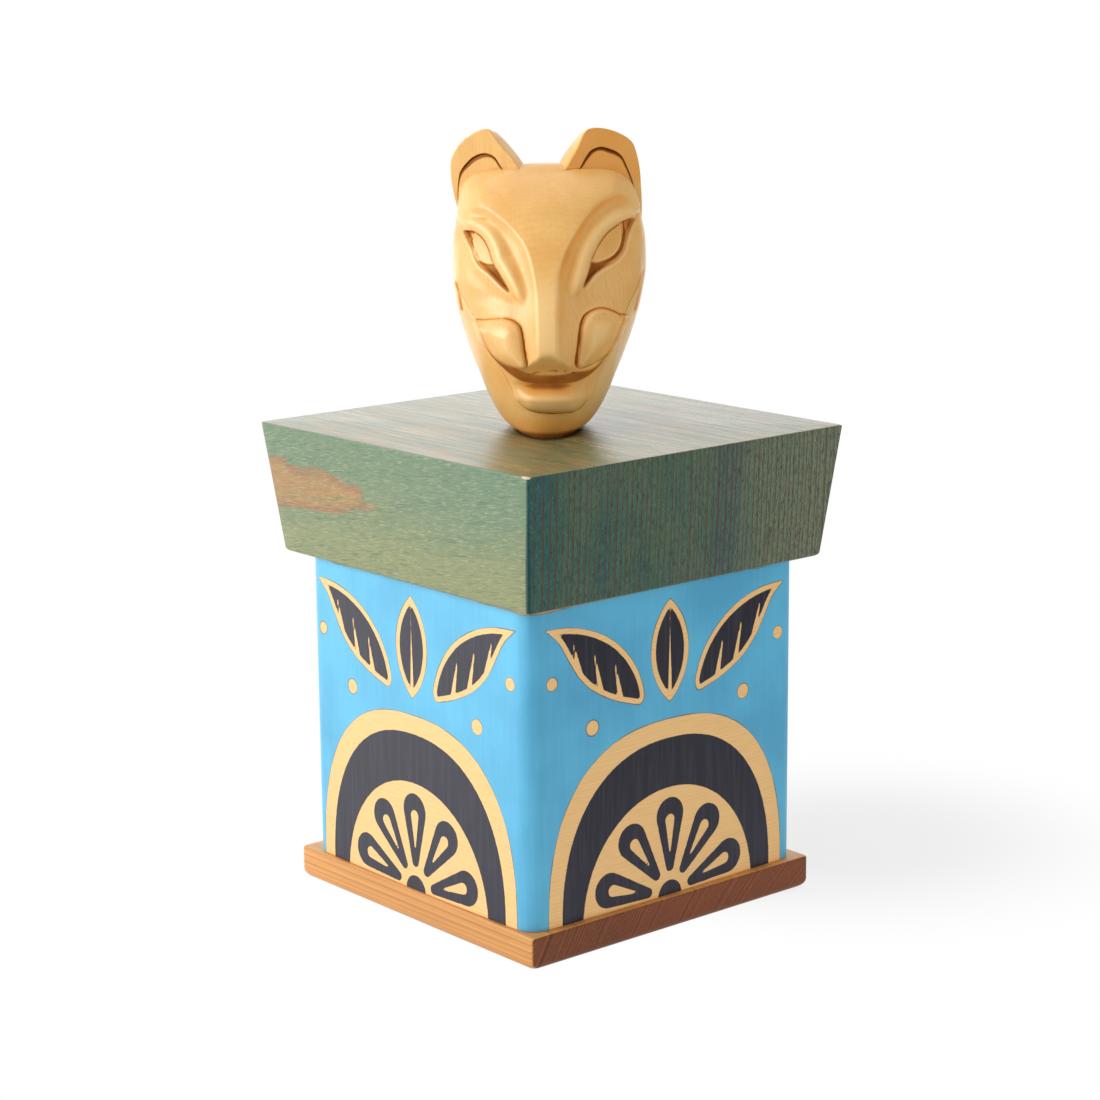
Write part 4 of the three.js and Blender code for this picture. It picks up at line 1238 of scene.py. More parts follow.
headValues = {
    "facing": 41.0,  # degrees from the lid's -Y side round to its -X side
    "forward": 4.0,
    "seat": 186.8,
    "height": 100.3,
    "crownStart": 80.0,
    "crownWidthPower": 4.5,
    "crownDepthPower": 2.8,
    "middle": -2.0,
    "sectionPower": 2.15,
    "columnsFront": 240,
    "columnsBack": 44,
    "rowsBelow": 236,
    "rowsCrown": 40,
    "earFront": 10.3,
    "earTurn": 0.33,
    "earThickness": 11.5,
    "earCutDepth": 1.25,
    "leftBlend": 7.0,
    "rightBlend": 1.2,  # at the right ear's inner end
    "earMiddles": ((-21.0, 96.0), (20.0, 96.0)),
    "dowelDiameter": 8.6,
    "dowelClearance": 0.3,
    "dowelForward": 8.0,
    "dowelInLid": 22.3,
    "dowelInHead": 24.3,
}

halfWidthKnots = [
    (0, 12.4), (3, 16.7), (8, 20.4), (14, 23.4), (20, 25.8), (30, 29.7), (40, 33), (50, 35.5), (62, 36.9),
    (72, 36.6), (80, 35.2), (86, 34.3), (100.3, 33.5),
]
frontKnots = [
    (0, 28.4), (3, 29.8), (8, 31.7), (15, 33.5), (25, 35), (35, 35.5), (45, 34), (55, 31.5), (65, 29),
    (75, 26), (82, 22.8), (88, 19.4), (93, 16.1), (100.3, 10.5),
]
leanKnots = [(0, -0.4), (25, -0.2), (48, 0.2), (66, 0.7), (80, 0.6), (100.3, 0)]
backKnots = [
    (0, -12), (3, -17), (8, -21), (15, -25), (25, -29.5), (40, -33), (60, -34), (78, -32), (86, -28.6),
    (92, -25.2), (100.3, -20),
]

# The forehead and nose stand out as one T-shaped plane
browAndNoseLeft = [
    (-3.4, 25), (-3.4, 35), (-3.3, 46), (-3.9, 57), (-6.3, 68.2), (-9, 74), (-13.1, 78.6), (-18.7, 82.7),
    (-22.6, 84.9), (-27.2, 85.3), (-31, 82.8), (-33.6, 78.5), (-36, 73), (-40, 66),
]
browAndNoseRight = [
    (40, 72), (37, 77), (35, 82.5), (32.4, 87), (27.5, 89.6), (20.5, 87.7), (15.5, 83.5),
    (11.6, 78.5), (7.2, 71), (4.6, 63.5), (4, 53), (3.9, 40), (4.2, 25),
]
mouthLine = [
    (40, 63), (36.4, 60.6), (33.2, 53.9), (30.5, 49.1), (28.7, 44.8), (24.5, 35.5), (21.1, 30.2),
    (18.2, 26.4), (14.2, 23.6), (7.7, 21.7), (0.4, 21.4), (-6.4, 21.9), (-10.4, 23.1), (-14.6, 25.6),
    (-18.3, 29), (-22.2, 34.2), (-26.2, 44.2), (-28.6, 47.1), (-31.8, 52.2), (-34.5, 56.2), (-40, 63),
]
muzzlePads = [
    [(-26.3, 44.2), (-24, 44.5), (-19.3, 45.4), (-15.3, 45.8), (-12.5, 45.2), (-10.3, 43.4), (-9.5, 40.9),
     (-8.8, 35.7), (-8.2, 28), (-13.1, 28.2), (-16.9, 30.2), (-20.6, 34), (-24.1, 38.2)],
    [(28.7, 44.3), (25.3, 46.8), (21.1, 48.8), (18.5, 49), (15.9, 48.1), (14.2, 46.7), (12.9, 43.5),
     (12.2, 38), (11.5, 28), (15.8, 28.5), (19.9, 31.1), (22.6, 33.8), (25.3, 36.8), (27.2, 41.9)],
]
eyeHollows = [
    [(-31.5, 76.2), (-27.2, 76.6), (-23.7, 74.3), (-21.4, 70.4), (-19.9, 66.1), (-16.9, 61.5),
     (-13.9, 55.5), (-18.8, 59.4), (-21.8, 61.9), (-24.9, 63.9), (-26.9, 66.6), (-28.1, 70),
     (-29.6, 73.1)],
    [(33.3, 79.9), (30.1, 80.2), (27, 79.1), (22.4, 76.2), (19.4, 72.5), (16.8, 67.6), (15.8, 64.2),
     (13.7, 57), (17.8, 61.5), (22, 63.8), (25.4, 65.4), (27.7, 67.4), (29.2, 69.8), (30, 73.3),
     (31.2, 76.6)],
]
eyeCorners = [((-31.5, 76.2), (-13.9, 55.5)), ((33.3, 79.9), (13.7, 57))]
eyeballs = [
    [(-28, 75.4), (-27.8, 70.7), (-26.3, 67), (-23.9, 65.2), (-19.6, 65), (-18.6, 68), (-20.5, 74),
     (-25, 78)],
    [(28, 80.5), (28.2, 74.5), (27.3, 70.3), (25, 67.6), (22.4, 66.4), (17.2, 65.6), (15.5, 68), (19, 76),
     (24, 81)],
]
lowerLip = [
    (-20.5, 32), (-15.5, 23.3), (-12.7, 18), (-10.7, 14.3), (-7.9, 11.6), (-2.6, 10.4), (1.5, 10.1),
    (5.6, 10), (9.6, 10.1), (12.1, 11.7), (14.2, 14.4), (16.7, 18.8), (19.6, 25.9), (22.5, 32),
]
cheekCuts = [
    [(-34.3, 56.8), (-33.9, 54.9), (-33.6, 52.8), (-33.2, 50.1), (-32.6, 46.4)],
    [(35.6, 55.5), (35.2, 53.2), (34.4, 50.8), (33.8, 48.5), (33.1, 45.9)],
]
earFronts = [
    [(-33, 79), (-34.2, 83.6), (-35.4, 88.1), (-36.5, 95.2), (-36.6, 100.5), (-35.7, 103.6), (-32.8, 108),
     (-27.8, 111.9), (-24.2, 113.4), (-22, 113.5), (-17.9, 108.2), (-12.8, 102.5), (-9.1, 96.3), (-11, 90),
     (-22, 84)],
    [(36, 78), (36.1, 84.9), (35.7, 92.6), (35.3, 97.7), (34.3, 103), (32.8, 107.4), (31.3, 109.2),
     (28.2, 111.2), (24.4, 112.8), (20.3, 113.7), (17.6, 113.8), (15.6, 113.3), (14.4, 112.2),
     (11.7, 106.5), (7.9, 99.9), (5.3, 95.4), (9, 90), (22, 84)],
]
earBacks = [
    [(-31.5, 79), (-32.6, 83.6), (-33.8, 88.1), (-34.8, 94.5), (-34.8, 99.5), (-33.9, 102.6), (-31, 106.8),
     (-26.5, 110.3), (-22.4, 111.9), (-18.8, 111.6), (-13, 106.7), (-8.5, 100.7), (-6, 96), (-8.5, 90),
     (-21, 84)],
    [(33.5, 78), (33.8, 84.9), (33.8, 91.8), (33.5, 96.5), (32.5, 101.5), (31, 105.6), (29.5, 107.4),
     (26.2, 109.6), (22.8, 111.2), (19.5, 112.2), (17, 112.6), (14.2, 112.2), (12.2, 111), (8.2, 107.3),
     (4.2, 101.7), (1.5, 96.5), (5, 90), (20.5, 84)],
]
# Each ear's inner line is a V-shaped cut, given by its outer and its inner edge
earCuts = [
    ([(-33.6, 84), (-34, 87.5), (-34.1, 90.2), (-33.7, 94.5), (-33, 97.3), (-31.1, 100.2), (-28.2, 103),
      (-25.6, 104.3), (-23.3, 104.7), (-21, 104.1), (-19.3, 103), (-17.9, 100.9), (-16.2, 98.2)],
     [(-33.3, 84), (-33.5, 87.5), (-33.4, 90.2), (-32.8, 94.2), (-31.6, 97), (-29.4, 99.2), (-27, 101.2),
      (-25, 102.2), (-23, 102.8), (-21, 102.6), (-19.6, 101.5), (-18.4, 99.7), (-16.6, 97.8)]),
    ([(11.2, 97), (12.9, 99.9), (14.7, 103.2), (16.7, 105.6), (18.8, 106.5), (20.8, 106.8), (23.9, 105.9),
      (26.4, 104.8), (28.7, 102.7), (30.2, 99.6), (31.5, 96.5), (33, 91.7), (34, 88)],
     [(11.8, 96.8), (13.8, 99.3), (15.9, 102.2), (17.5, 104), (19.2, 104.9), (20.8, 105), (23.3, 104.1),
      (25.7, 103.2), (27.9, 101.6), (29.3, 98.9), (30.7, 95.8), (32.4, 91.4), (33.6, 88)]),
]

# Spans are places on the face, between which something grows from nothing to its full size:
# heights over the lid, or distances from the middle line where the name ends in Sides. Ridges
# and grooves have a height, a middle and a width, over the distance inside an outline, from a
# line or a spot, or over the lid
carvingValues = {
    "fadeSpan": (80, 66),
    "fadeAbove": (0.02, 0.2),  # cosines of the turn to the side, above that span and below it
    "fadeBelow": (0.10, 0.42),
    "noseRise": 4.3,
    "browRise": 3.5,
    "browSpan": (66, 82),
    "foreheadSides": (34, 24),
    "noseTipRise": 3.0,
    "noseTipSpan": (62, 34),
    "noseUnder": (25.8, 34.6, 30),  # its span in the middle, and the least top of that
    "noseUnderFall": 0.08,
    "noseBevel": 10.0,
    "browBevel": 6.4,
    "bevelSpan": (44, 62),
    "bevelPower": 1.8,
    "crestRound": 0.03,
    "temple": (-0.9, -3.4, 2.6),
    "templeSides": (19, 26),
    "templeEndSides": (36, 33),
    "templeSpan": (70, 77),
    "muzzleRise": 4.4,
    "muzzleSides": (37, 33),
    "muzzleSpan": (80, 54),
    "cheekRise": 1.9,
    "cheekSides": (11, 27),
    "cheekHollow": (-0.8, 0.0, 3.6),
    "cheekHollows": ((-20, 52.5), (19.5, 55)),
    "cheekHollowStretch": 1.6,
    "cheekCut": (-0.8, 0.0, 0.55),
    "padRise": 4.4,
    "padRound": 9.0,
    "seam": (-0.9, -0.2, 0.5),
    "seamSpan": (27, 30),
    "seamSides": (18, 13.5),
    "seamTopSpan": (39, 43.5),
    "seamTop": (0.15, 0.5),  # left and right share of it along the pads' tops
    "eyeDepth": 2.2,
    "eyeballRise": 1.6,
    "upperLid": (2.1, -3.1, 2.7),
    "lowerLid": (0.25, -1.0, 0.9),
    "underEye": (-0.5, -4.2, 2.6),
    "underEyeSides": (33, 27),
    "lowerLipRise": 0.6,
    "lowerLipSwell": 4.6,
    "lowerLipRound": 8.0,
    "lowerLipFlat": (15, 22),
    "lipWidth": (1.2, 4.8),  # at the mouth's ends and in its middle
    "lipSides": (20, 9),
    "mouthHollow": (-2.2, 20.3, 2.7),
    "mouthSides": (14, 6),
    "jawGroove": (-0.9, -0.3, 0.7),
    "jawSides": (20, 28),
}

# Painted shade, wear and painted light on the head, in the same way: ridges of brown, spans of a depth or
# a place, and shares
shadeLightAndWearValues = {
    "recessCorners": ((-19, 60.5, 8), (-30, 75, 3), (18, 62, 7), (32, 78.8, 3)),
    "recessEdge": (1.0, -0.5, 0.8),
    "underLip": 0.85,
    "underLipSides": (26, 20),
    "mouth": (0.9, 20.6, 2.3),
    "mouthSides": (12, 5),
    "underNose": (0.25, 27.4, 2.4),
    "underNoseSides": (10, 6),
    "seam": (1.0, -0.2, 0.5),
    "facetStart": (0.3, -0.6),
    "facetThin": (-1.2, -3.5),
    "facetEnd": (-8, -3.5),
    "facetSides": (33, 27),
    "cheekCut": (0.8, 0.0, 0.7),
    "underChin": ((0.42, 11, 2), (0.58, 3.2, 0.4)),
    # Painted shade on the right ear's face and the right eyeball, the side away from the lamp
    "rightEar": 0.38,
    "rightEye": 0.12,
    "crease": (1.0, 0.0, 0.5),
    "creaseSides": (30, 12),
    "noseLine": (1.0, 27.1, 0.4),
    "noseLineSides": (13, 9),
    "rubbedNose": (70, 50),
    "rubbedNoseTip": (31, 37),
    "rubbedPads": 0.8,
    "rubbedLip": 0.6,
    # Painted light on the jaw's shaded right side
    "litRightJaw": 0.9,
    "rubbedLid": (1.0, -2.6, 1.5),
}

headKnots = (halfWidthKnots, frontKnots, backKnots, leanKnots)
halfWidthAt, frontAt, backAt, leanAt = (smoothCurve(knots) for knots in headKnots)


def aboveFace(left, right):
    # Outline of what lies above a left and a right line, up over the crown
    return np.vstack([left, [(-40, 112), (40, 112)], right])


def foreheadOutline():
    return aboveFace(roundLine(browAndNoseLeft), roundLine(browAndNoseRight))


def headFields(values, u, w):
    # Signed depths inside the carved outlines, for arrays of places on the face
    line = roundLine(mouthLine)
    pads = np.maximum(*(depthInLoop(pad, u, w) for pad in muzzlePads))
    # A pad's seam is cut on the side of the nose, fine along its top and absent along the lip
    along = np.where(u < 0, *values["seamTop"]) * ease(w, *values["seamTopSpan"])
    seam = np.maximum(ease(np.abs(u), *values["seamSides"]), along) * ease(w, *values["seamSpan"])
    seam = seam * (0.5 + 0.5 * ease(u, -8, 8))
    return {
        "forehead": depthInside(foreheadOutline(), u, w),
        "mouth": depthInside(aboveFace(line, line[:0]), u, w),
        "pads": pads,
        "seam": seam * (pads > -4),
        "eyes": [depthInLoop(hollow, u, w) for hollow in eyeHollows],
        "balls": [depthInLoop(ball, u, w) for ball in eyeballs],
        "lip": depthInside(roundLine(lowerLip), u, w),
        "cheekCuts": np.minimum(*(distanceTo(roundLine(cut), u, w) for cut in cheekCuts)),
    }


def aboveEye(u, w, corners):
    # How far a place counts as above the line through an eye's corners, and as below it
    (outerU, outerW), (innerU, innerW) = corners
    line = outerW + (u - outerU) * (innerW - outerW) / (innerU - outerU)
    return ease(w - line, 0, 4.5), ease(line - w, 0, 4.5)


def lipWidth(values, u):
    return blend(*values["lipWidth"], ease(np.abs(u), *values["lipSides"]))


def softStep(value, low, softness):
    # Ramp that is 1 where the value is above 0 and falls in a straight line to 0 at low, with the
    # corner at the top rounded: the lesser of the two lines, blended over the softness
    ramp = 1 - value / low
    both = ramp + 1 - np.sqrt((ramp - 1) ** 2 + 4 * softness**2)
    return np.maximum(both / 2 + softness * 0.5, 0)


def dome(inside, reach):
    # Quarter of an ellipse over the distance from an edge: 0 at the edge and 1 at the reach
    return np.sqrt(1 - (1 - np.clip(inside / reach, 0, 1)) ** 2)


def carvedRise(values, u, w, fields):
    # How far the carving stands out from the plain form, square to it
    side = np.abs(u)
    forehead, mouth, pads = fields["forehead"], fields["mouth"], fields["pads"]
    # Forehead and nose: full height inside the outline, and a steep facet outside it
    bevel = blend(values["noseBevel"], values["browBevel"], ease(w, *values["bevelSpan"]))
    outside = softStep(forehead, -bevel, values["crestRound"]) ** values["bevelPower"]
    tall = blend(values["noseRise"], values["browRise"], ease(w, *values["browSpan"]))
    tall = tall + values["noseTipRise"] * ease(w, *values["noseTipSpan"])
    low, high, least = values["noseUnder"]
    under = ease(w, low, np.maximum(high - values["noseUnderFall"] * (u - 0.5) ** 2, least))
    rise = outside * ease(side, *values["foreheadSides"]) * under * tall
    # Muzzle and cheeks over the jaw, with the lip's edge sloping back under the nose
    overJaw = ease(mouth, -0.2, lipWidth(values, u))
    muzzle = blend(values["muzzleRise"], values["cheekRise"], ease(side, *values["cheekSides"]))
    rise += overJaw * muzzle * ease(side, *values["muzzleSides"]) * ease(w, *values["muzzleSpan"])
    rise += ridge(values["jawGroove"], mouth) * ease(side, *values["jawSides"])
    rise += ridge(values["cheekCut"], fields["cheekCuts"])
    # Muzzle pads swell inside their seams
    rise += values["padRise"] * dome(pads, values["padRound"])
    rise += ridge(values["seam"], pads) * fields["seam"]
    # Eyes: a hollow that slopes in from below to a flat ball, with a rolled lid above it
    for eye, ball, corners in zip(fields["eyes"], fields["balls"], eyeCorners):
        upper, lower = aboveEye(u, w, corners)
        rise -= values["eyeDepth"] * ease(eye, -0.2 - 0.2 * lower, 0.7 + 2.1 * lower)
        rise += values["eyeballRise"] * ease(ball, -0.4, 0.6) * ease(eye, -0.1, 0.8)
        rise += ridge(values["upperLid"], eye) * upper + ridge(values["lowerLid"], eye) * lower
        rise += ridge(values["underEye"], eye) * lower * ease(side, *values["underEyeSides"])
    # The brow's hollow runs on round the temple, where the forehead no longer stands out
    temple = ease(side, *values["templeSides"]) * ease(side, *values["templeEndSides"])
    rise += ridge(values["temple"], forehead) * temple * ease(w, *values["templeSpan"])
    # The cheeks are hollowed between the eyes and the pads
    for x, y in values["cheekHollows"]:
        rise += ridge(values["cheekHollow"], np.hypot((u - x) / values["cheekHollowStretch"], w - y))
    # Lower lip, round from its edge inwards, and the mouth's hollow above it
    lip = ease(fields["lip"], -0.25, 0.35) * (1 - overJaw)
    swell = dome(fields["lip"], values["lowerLipRound"]) * (1 - 0.6 * ease(w, *values["lowerLipFlat"]))
    rise += lip * (values["lowerLipRise"] + values["lowerLipSwell"] * swell)
    return rise + ridge(values["mouthHollow"], w) * ease(side, *values["mouthSides"])


def headTurn(values):
    # Rows: the head's own directions, seen from the box's frame
    turn = math.radians(values["facing"])
    sine, cosine = math.sin(turn), math.cos(turn)
    return np.array([(cosine, -sine, 0), (-sine, -cosine, 0), (0, 0, 1)])


def headPlace(values, u, v, w):
    # Points in the box's frame from the head's own directions
    return np.stack([u, v + values["forward"], w + values["seat"]], axis=-1) @ headTurn(values)


def headDirections(values, points):
    # The head's own directions from points in the box's frame
    u, v, w = (points @ headTurn(values).T).T
    return u, v - values["forward"], w - values["seat"]


def sectionSize(values, w, reach):
    # Half width and depth of the plain form at a height, drawn in over the crown
    start = values["crownStart"]
    t = np.clip((w - start) / (values["height"] - start), 0, 1)
    half = halfWidthAt(w) * np.sqrt(1 - t ** values["crownWidthPower"])
    return half, (reach - values["middle"]) * np.sqrt(1 - t ** values["crownDepthPower"])


def plainFront(values, u, w):
    # Depth of the plain form's front at places seen from ahead: the section's own curve, and far
    # behind where the level has no wood that far out
    half, depth = sectionSize(values, w, frontAt(w))
    power = values["sectionPower"]
    inside = 1 - (np.abs(u - leanAt(w)) / np.maximum(half, 0.01)) ** power
    v = values["middle"] + depth * np.maximum(inside, 0) ** (1 / power)
    return np.where((inside > 0) & (w < values["height"]), v, -40)


def headSkin(values, carving):
    # Levels from the seat to the crown, each a rounded section: half width and depth from the
    # profile curves, with the carving added square to the section
    front, back = values["columnsFront"], values["columnsBack"]
    angle = np.concatenate([np.linspace(-math.pi / 2, math.pi / 2, front, endpoint=False),
                            np.linspace(math.pi / 2, 3 * math.pi / 2, back, endpoint=False)])
    start, height = values["crownStart"], values["height"]
    share = np.sin(np.linspace(0, math.pi / 2, values["rowsCrown"], endpoint=False))
    level = np.concatenate([np.linspace(0, start, values["rowsBelow"], endpoint=False),
                            start + (height - start) * share])
    angle, w = np.meshgrid(angle, level)
    sine, cosine = np.sin(angle), np.cos(angle)
    half, depth = sectionSize(values, w, np.where(cosine >= 0, frontAt(w), backAt(w)))
    power = 2 / values["sectionPower"]
    u = leanAt(w) + half * np.sign(sine) * np.abs(sine) ** power
    v = values["middle"] + depth * np.abs(cosine) ** power
    outU, outV = sine / np.maximum(half, 1), cosine / np.maximum(np.abs(depth), 1)
    length = np.hypot(outU, outV)
    outU, outV = outU / length, outV / length
    # The outlines are drawn where they show, so the carving is looked up where its own height,
    # averaged over nine columns, moves a place sideways. It fades out round the sides
    belowBrow = ease(w, *carving["fadeSpan"])
    fadeSides = zip(carving["fadeAbove"], carving["fadeBelow"])
    fade = ease(cosine, *(blend(above, below, belowBrow) for above, below in fadeSides))
    rise = np.zeros(u.shape)
    faces = cosine > carving["fadeAbove"][0]
    for _ in range(3):
        mean = sum(np.roll(rise, step, axis=1) for step in range(-4, 5)) / 9
        places = (u + mean * outU)[faces], w[faces]
        rise[faces] = carvedRise(carving, *places, headFields(carving, *places))
        rise *= fade
    return closedSkin("head", headPlace(values, u + rise * outU, v + rise * outV, w))


def earPlane(values, u):
    # Depth of the ears' front faces, which turn outwards
    return values["earFront"] - values["earTurn"] * np.abs(u)


def onEar(values, line, out=0.0):
    # A line drawn on an ear's front face, moved out from it
    u, w = line.T
    return headPlace(values, u, earPlane(values, u) + out, w)


def earSkin(values, i):
    # An ear as a plate between its back and its front outline, with its edges eased
    turn = -1 if i == 0 else 1
    back, front = (roundLine(ears[i] + ears[i][:1], 9)[:-1][::turn] for ears in (earBacks, earFronts))
    middle = np.array(values["earMiddles"][i])
    rings = []
    for share, size in ((0, 0.80), (0.02, 0.88), (0.08, 0.94), (0.18, 0.98), (0.3, 1), (0.5, 1), (0.75, 1),
                        (0.965, 1), (0.99, 0.994), (1, 0.982)):
        outline = middle + size * (back + share * (front - back) - middle)
        rings.append(onEar(values, outline, values["earThickness"] * (share - 1)))
    for size in np.linspace(0.96, 0.04, 26):
        rings.append(onEar(values, middle + size * (front - middle)))
    return closedSkin("ear", rings)


def earCut(values, i):
    # Cutter for the line inside an ear: a V whose depth follows its width
    outer, inner = (roundLine(edge, 6) for edge in earCuts[i])
    wide = np.linalg.norm(outer - inner, axis=1)
    bottom = outer + 0.25 * (inner - outer)
    deep = values["earCutDepth"] * np.clip(wide / wide.max(), 0.35, 1)
    edges = [onEar(values, edge, out) for edge, out in ((outer, 1.0), (inner, 1.0), (bottom, -deep))]
    return closedSkin("cut", np.stack(edges, axis=1))


def headFront(values, carving, u, w):
    # Depth of the carved forehead's front: the plain form moved out by the carving, which also
    # moves a little sideways, so the plain place is looked up a little nearer to the middle
    inside = depthInside(foreheadOutline(), u, w)
    rise = carving["browRise"] * ease(np.abs(u), 34, 24) * ease(inside, -5, 0)
    half = np.maximum(halfWidthAt(w), 1)
    sine = np.clip(np.abs(u - leanAt(w)) / half, 0, 1) ** (values["sectionPower"] / 2)
    outU, outV = np.sign(u) * sine / half, np.sqrt(1 - sine**2) / np.maximum(frontAt(w), 1)
    length = np.maximum(np.hypot(outU, outV), 1e-9)
    return plainFront(values, u - rise * outU / length, w) + rise * outV / length


def meeting(values, carving, u, w):
    # How far the forehead stands before the ears' front planes, and whether an ear is there
    over = headFront(values, carving, u, w) - earPlane(values, u)
    return over, np.maximum(*(depthInLoop(front, u, w) for front in earFronts))


def blendEars(piece, values, carving):
    # The forehead runs into the ears in a round hollow, tight at the right ear's inner end: both
    # surfaces come forward by the smooth maximum's share, which is greatest where they meet
    points = pointsOf(piece.data) / mm
    u, v, w = headDirections(values, points)
    near = (w > 80) & (v > earPlane(values, u) - 5)
    u, v, w = u[near], v[near], w[near]
    over, inEar = meeting(values, carving, u, w)
    wide = values["leftBlend"]
    reach = np.where(u < 0, wide, blend(values["rightBlend"], wide, ease(u, 17, 33)))
    share = np.clip(1 - np.abs(over) / reach, 0, 1)
    window = ease(inEar, -0.5, 2.5) * ease(v - earPlane(values, u), -5, -3)
    forward = window * share**2 * reach / 4
    points[near] = headPlace(values, u, v + forward, w)
    movePoints(piece, points)


def hollowness(piece, rounds):
    # How hollow the surface is at each vertex: the mean step to its neighbours along the normal,
    # over the mean squared length of those steps, averaged again with the neighbours' values
    mesh = piece.data
    ends = np.zeros(len(mesh.edges) * 2, np.int32)
    mesh.edges.foreach_get("vertices", ends)
    a, b = ends.reshape(-1, 2).T
    points = pointsOf(mesh) / mm
    normals = np.zeros(points.size, np.float32)
    mesh.vertices.foreach_get("normal", normals)
    count = np.bincount(np.concatenate([a, b]), minlength=len(points))

    def around(values):
        total = np.bincount(a, values[b], len(points)) + np.bincount(b, values[a], len(points))
        return total / np.maximum(count, 1)

    step = np.stack([around(axis) for axis in points.T], axis=-1) - points
    squares = ((points[a] - points[b]) ** 2).sum(1)
    size = np.bincount(a, squares, len(points)) + np.bincount(b, squares, len(points))
    curve = (step * normals.reshape(-1, 3)).sum(1) / np.maximum(size / np.maximum(count, 1), 0.01)
    for _ in range(rounds):
        curve = 0.5 * curve + 0.5 * around(curve)
    return curve


def markHead(piece, values, carving, shadeLightAndWear):
    # Fields that the wood's finish reads: depths inside the cuts, how hollow the surface is, and
    # where painted brown shade lies
    u, v, w = headDirections(values, pointsOf(piece.data) / mm)
    facing, side = v > -8, np.abs(u)
    fields = headFields(carving, u, w)
    forehead, mouth, lip, pads = (fields[key] for key in ("forehead", "mouth", "lip", "pads"))
    inEye, inBall = np.maximum(*fields["eyes"]), np.maximum(*fields["balls"])
    behind = earPlane(values, u) - v
    over, inEar = meeting(values, carving, u, w)
    # Painted shade in the eyes' recesses, darkest in their corners and on the right, shaded side
    corner = np.where(u < 0, 0.4, 0.9) * ridge(shadeLightAndWear["recessEdge"], inBall)
    for x, y, size in shadeLightAndWear["recessCorners"]:
        corner = np.maximum(corner, hump(np.hypot(u - x, w - y), size))
    least = np.where(u < 0, 0.15, 0.4)
    recess = ease(inEye, -0.2, 0.4) * ease(inBall, 0.3, -0.5) * blend(least, 1, corner)
    # Painted shade on the upper lip's underside, in the mouth's hollow and under the nose
    edge = lipWidth(carving, u)
    underLip = (w < 90) * ease(mouth, -0.5, 0.1) * ease(mouth, edge + 0.3, edge - 1.2)
    # Painted shade on the facet on the shaded side of the nose and brow, darkest beside the crest
    facetShade = ease(forehead, *shadeLightAndWear["facetStart"]) * (1 - 0.6 * ease(forehead, *shadeLightAndWear["facetThin"]))
    facetShade = facetShade * ease(forehead, *shadeLightAndWear["facetEnd"]) * ease(u, 2, 5) * ease(side, *shadeLightAndWear["facetSides"])
    facetShade = facetShade * (0.14 + 0.38 * ease(w, 56, 68)) * ease(w, 32, 40) * ease(w, 94, 88)
    # Painted shade under the chin, darkest at its foot on the lid
    underChin = sum(share * ease(w, high, low) for share, high, low in shadeLightAndWear["underChin"])
    # Painted shade on the right ear's face and the right eyeball, the side away from the lamp
    rightEar = ease(u, 3, 6) * ease(w, 90, 96) * (np.abs(behind) < 0.6)
    rightEye = ease(fields["balls"][1], -0.2, 0.5) * ease(inEye, -0.1, 0.4)
    # Painted shade in the crease where the forehead meets the ears, deeper on the right
    crease = (inEar > 0) * (w > 84) * (behind < 1) * ease(u, *shadeLightAndWear["creaseSides"])
    # Painted brown shade: the greatest of these marks, and of the shade in the pads' seams and the cheek
    # cuts
    brown = np.max([
        recess,
        facetShade,
        shadeLightAndWear["underLip"] * underLip * ease(side, *shadeLightAndWear["underLipSides"]),
        ridge(shadeLightAndWear["mouth"], w) * ease(side, *shadeLightAndWear["mouthSides"]),
        ridge(shadeLightAndWear["underNose"], w) * ease(side, *shadeLightAndWear["underNoseSides"]),
        ridge(shadeLightAndWear["seam"], pads) * fields["seam"],
        ridge(shadeLightAndWear["cheekCut"], fields["cheekCuts"]),
        ridge(shadeLightAndWear["crease"], over) * crease * np.where(u > 0, 0.8, 0.25),
        underChin * (lip < 0),
        shadeLightAndWear["rightEar"] * rightEar,
        shadeLightAndWear["rightEye"] * rightEye,
    ], axis=0)
    # What stands out is rubbed pale: the nose, the pads, the lower lip and the rolled lids. The jaw's
    # shaded right side is painted pale as well, as painted light
    jaw = ease(mouth, -1, -3) * ease(lip, 0, -2) * ease(w, 8, 16)
    nose = ease(forehead, -0.2, 1.2) * ease(w, *shadeLightAndWear["rubbedNose"]) * ease(w, *shadeLightAndWear["rubbedNoseTip"])
    rubbed = [
        nose,
        shadeLightAndWear["rubbedPads"] * ease(pads, 2, 6),
        shadeLightAndWear["rubbedLip"] * ease(lip, 0.5, 2) * ease(w, 19, 16),
        shadeLightAndWear["litRightJaw"] * jaw * ease(u, 12, 20),
    ]
    for eye, ends in zip(fields["eyes"], eyeCorners):
        rubbed.append(ridge(shadeLightAndWear["rubbedLid"], eye) * aboveEye(u, w, ends)[0])
    # The marks fade out round the side of the head, as the carving does
    ahead = facing * np.where(w < 80, ease(v, 4, 10), 1.0)
    keepField(piece, "brown", brown * ahead)
    keepField(piece, "rubbed", np.max(rubbed, axis=0) * ahead)
    # A broken dark line where the lip meets the underside of the nose
    bent = w + 0.02 * (u - 2) ** 2
    line = ridge(shadeLightAndWear["noseLine"], bent) * ease(np.abs(u - 3), *shadeLightAndWear["noseLineSides"])
    keepField(piece, "dots", line * facing)
    cuts = [depthInside(np.vstack([roundLine(a), roundLine(b)[::-1]]), u, w) for a, b in earCuts]
    for name, field, shown in (("eyes", inEye, facing),
                               ("mouth", mouth, (side > 8) & (w < 90) & (v > 8)),
                               ("lip", lip, facing & (w < 15)),
                               ("ear", np.maximum(*cuts), (w > 86.5) & (behind > -0.3) & (behind < 2.4))):
        keepField(piece, name, np.where(shown, np.clip(field, -6, 6), -6))
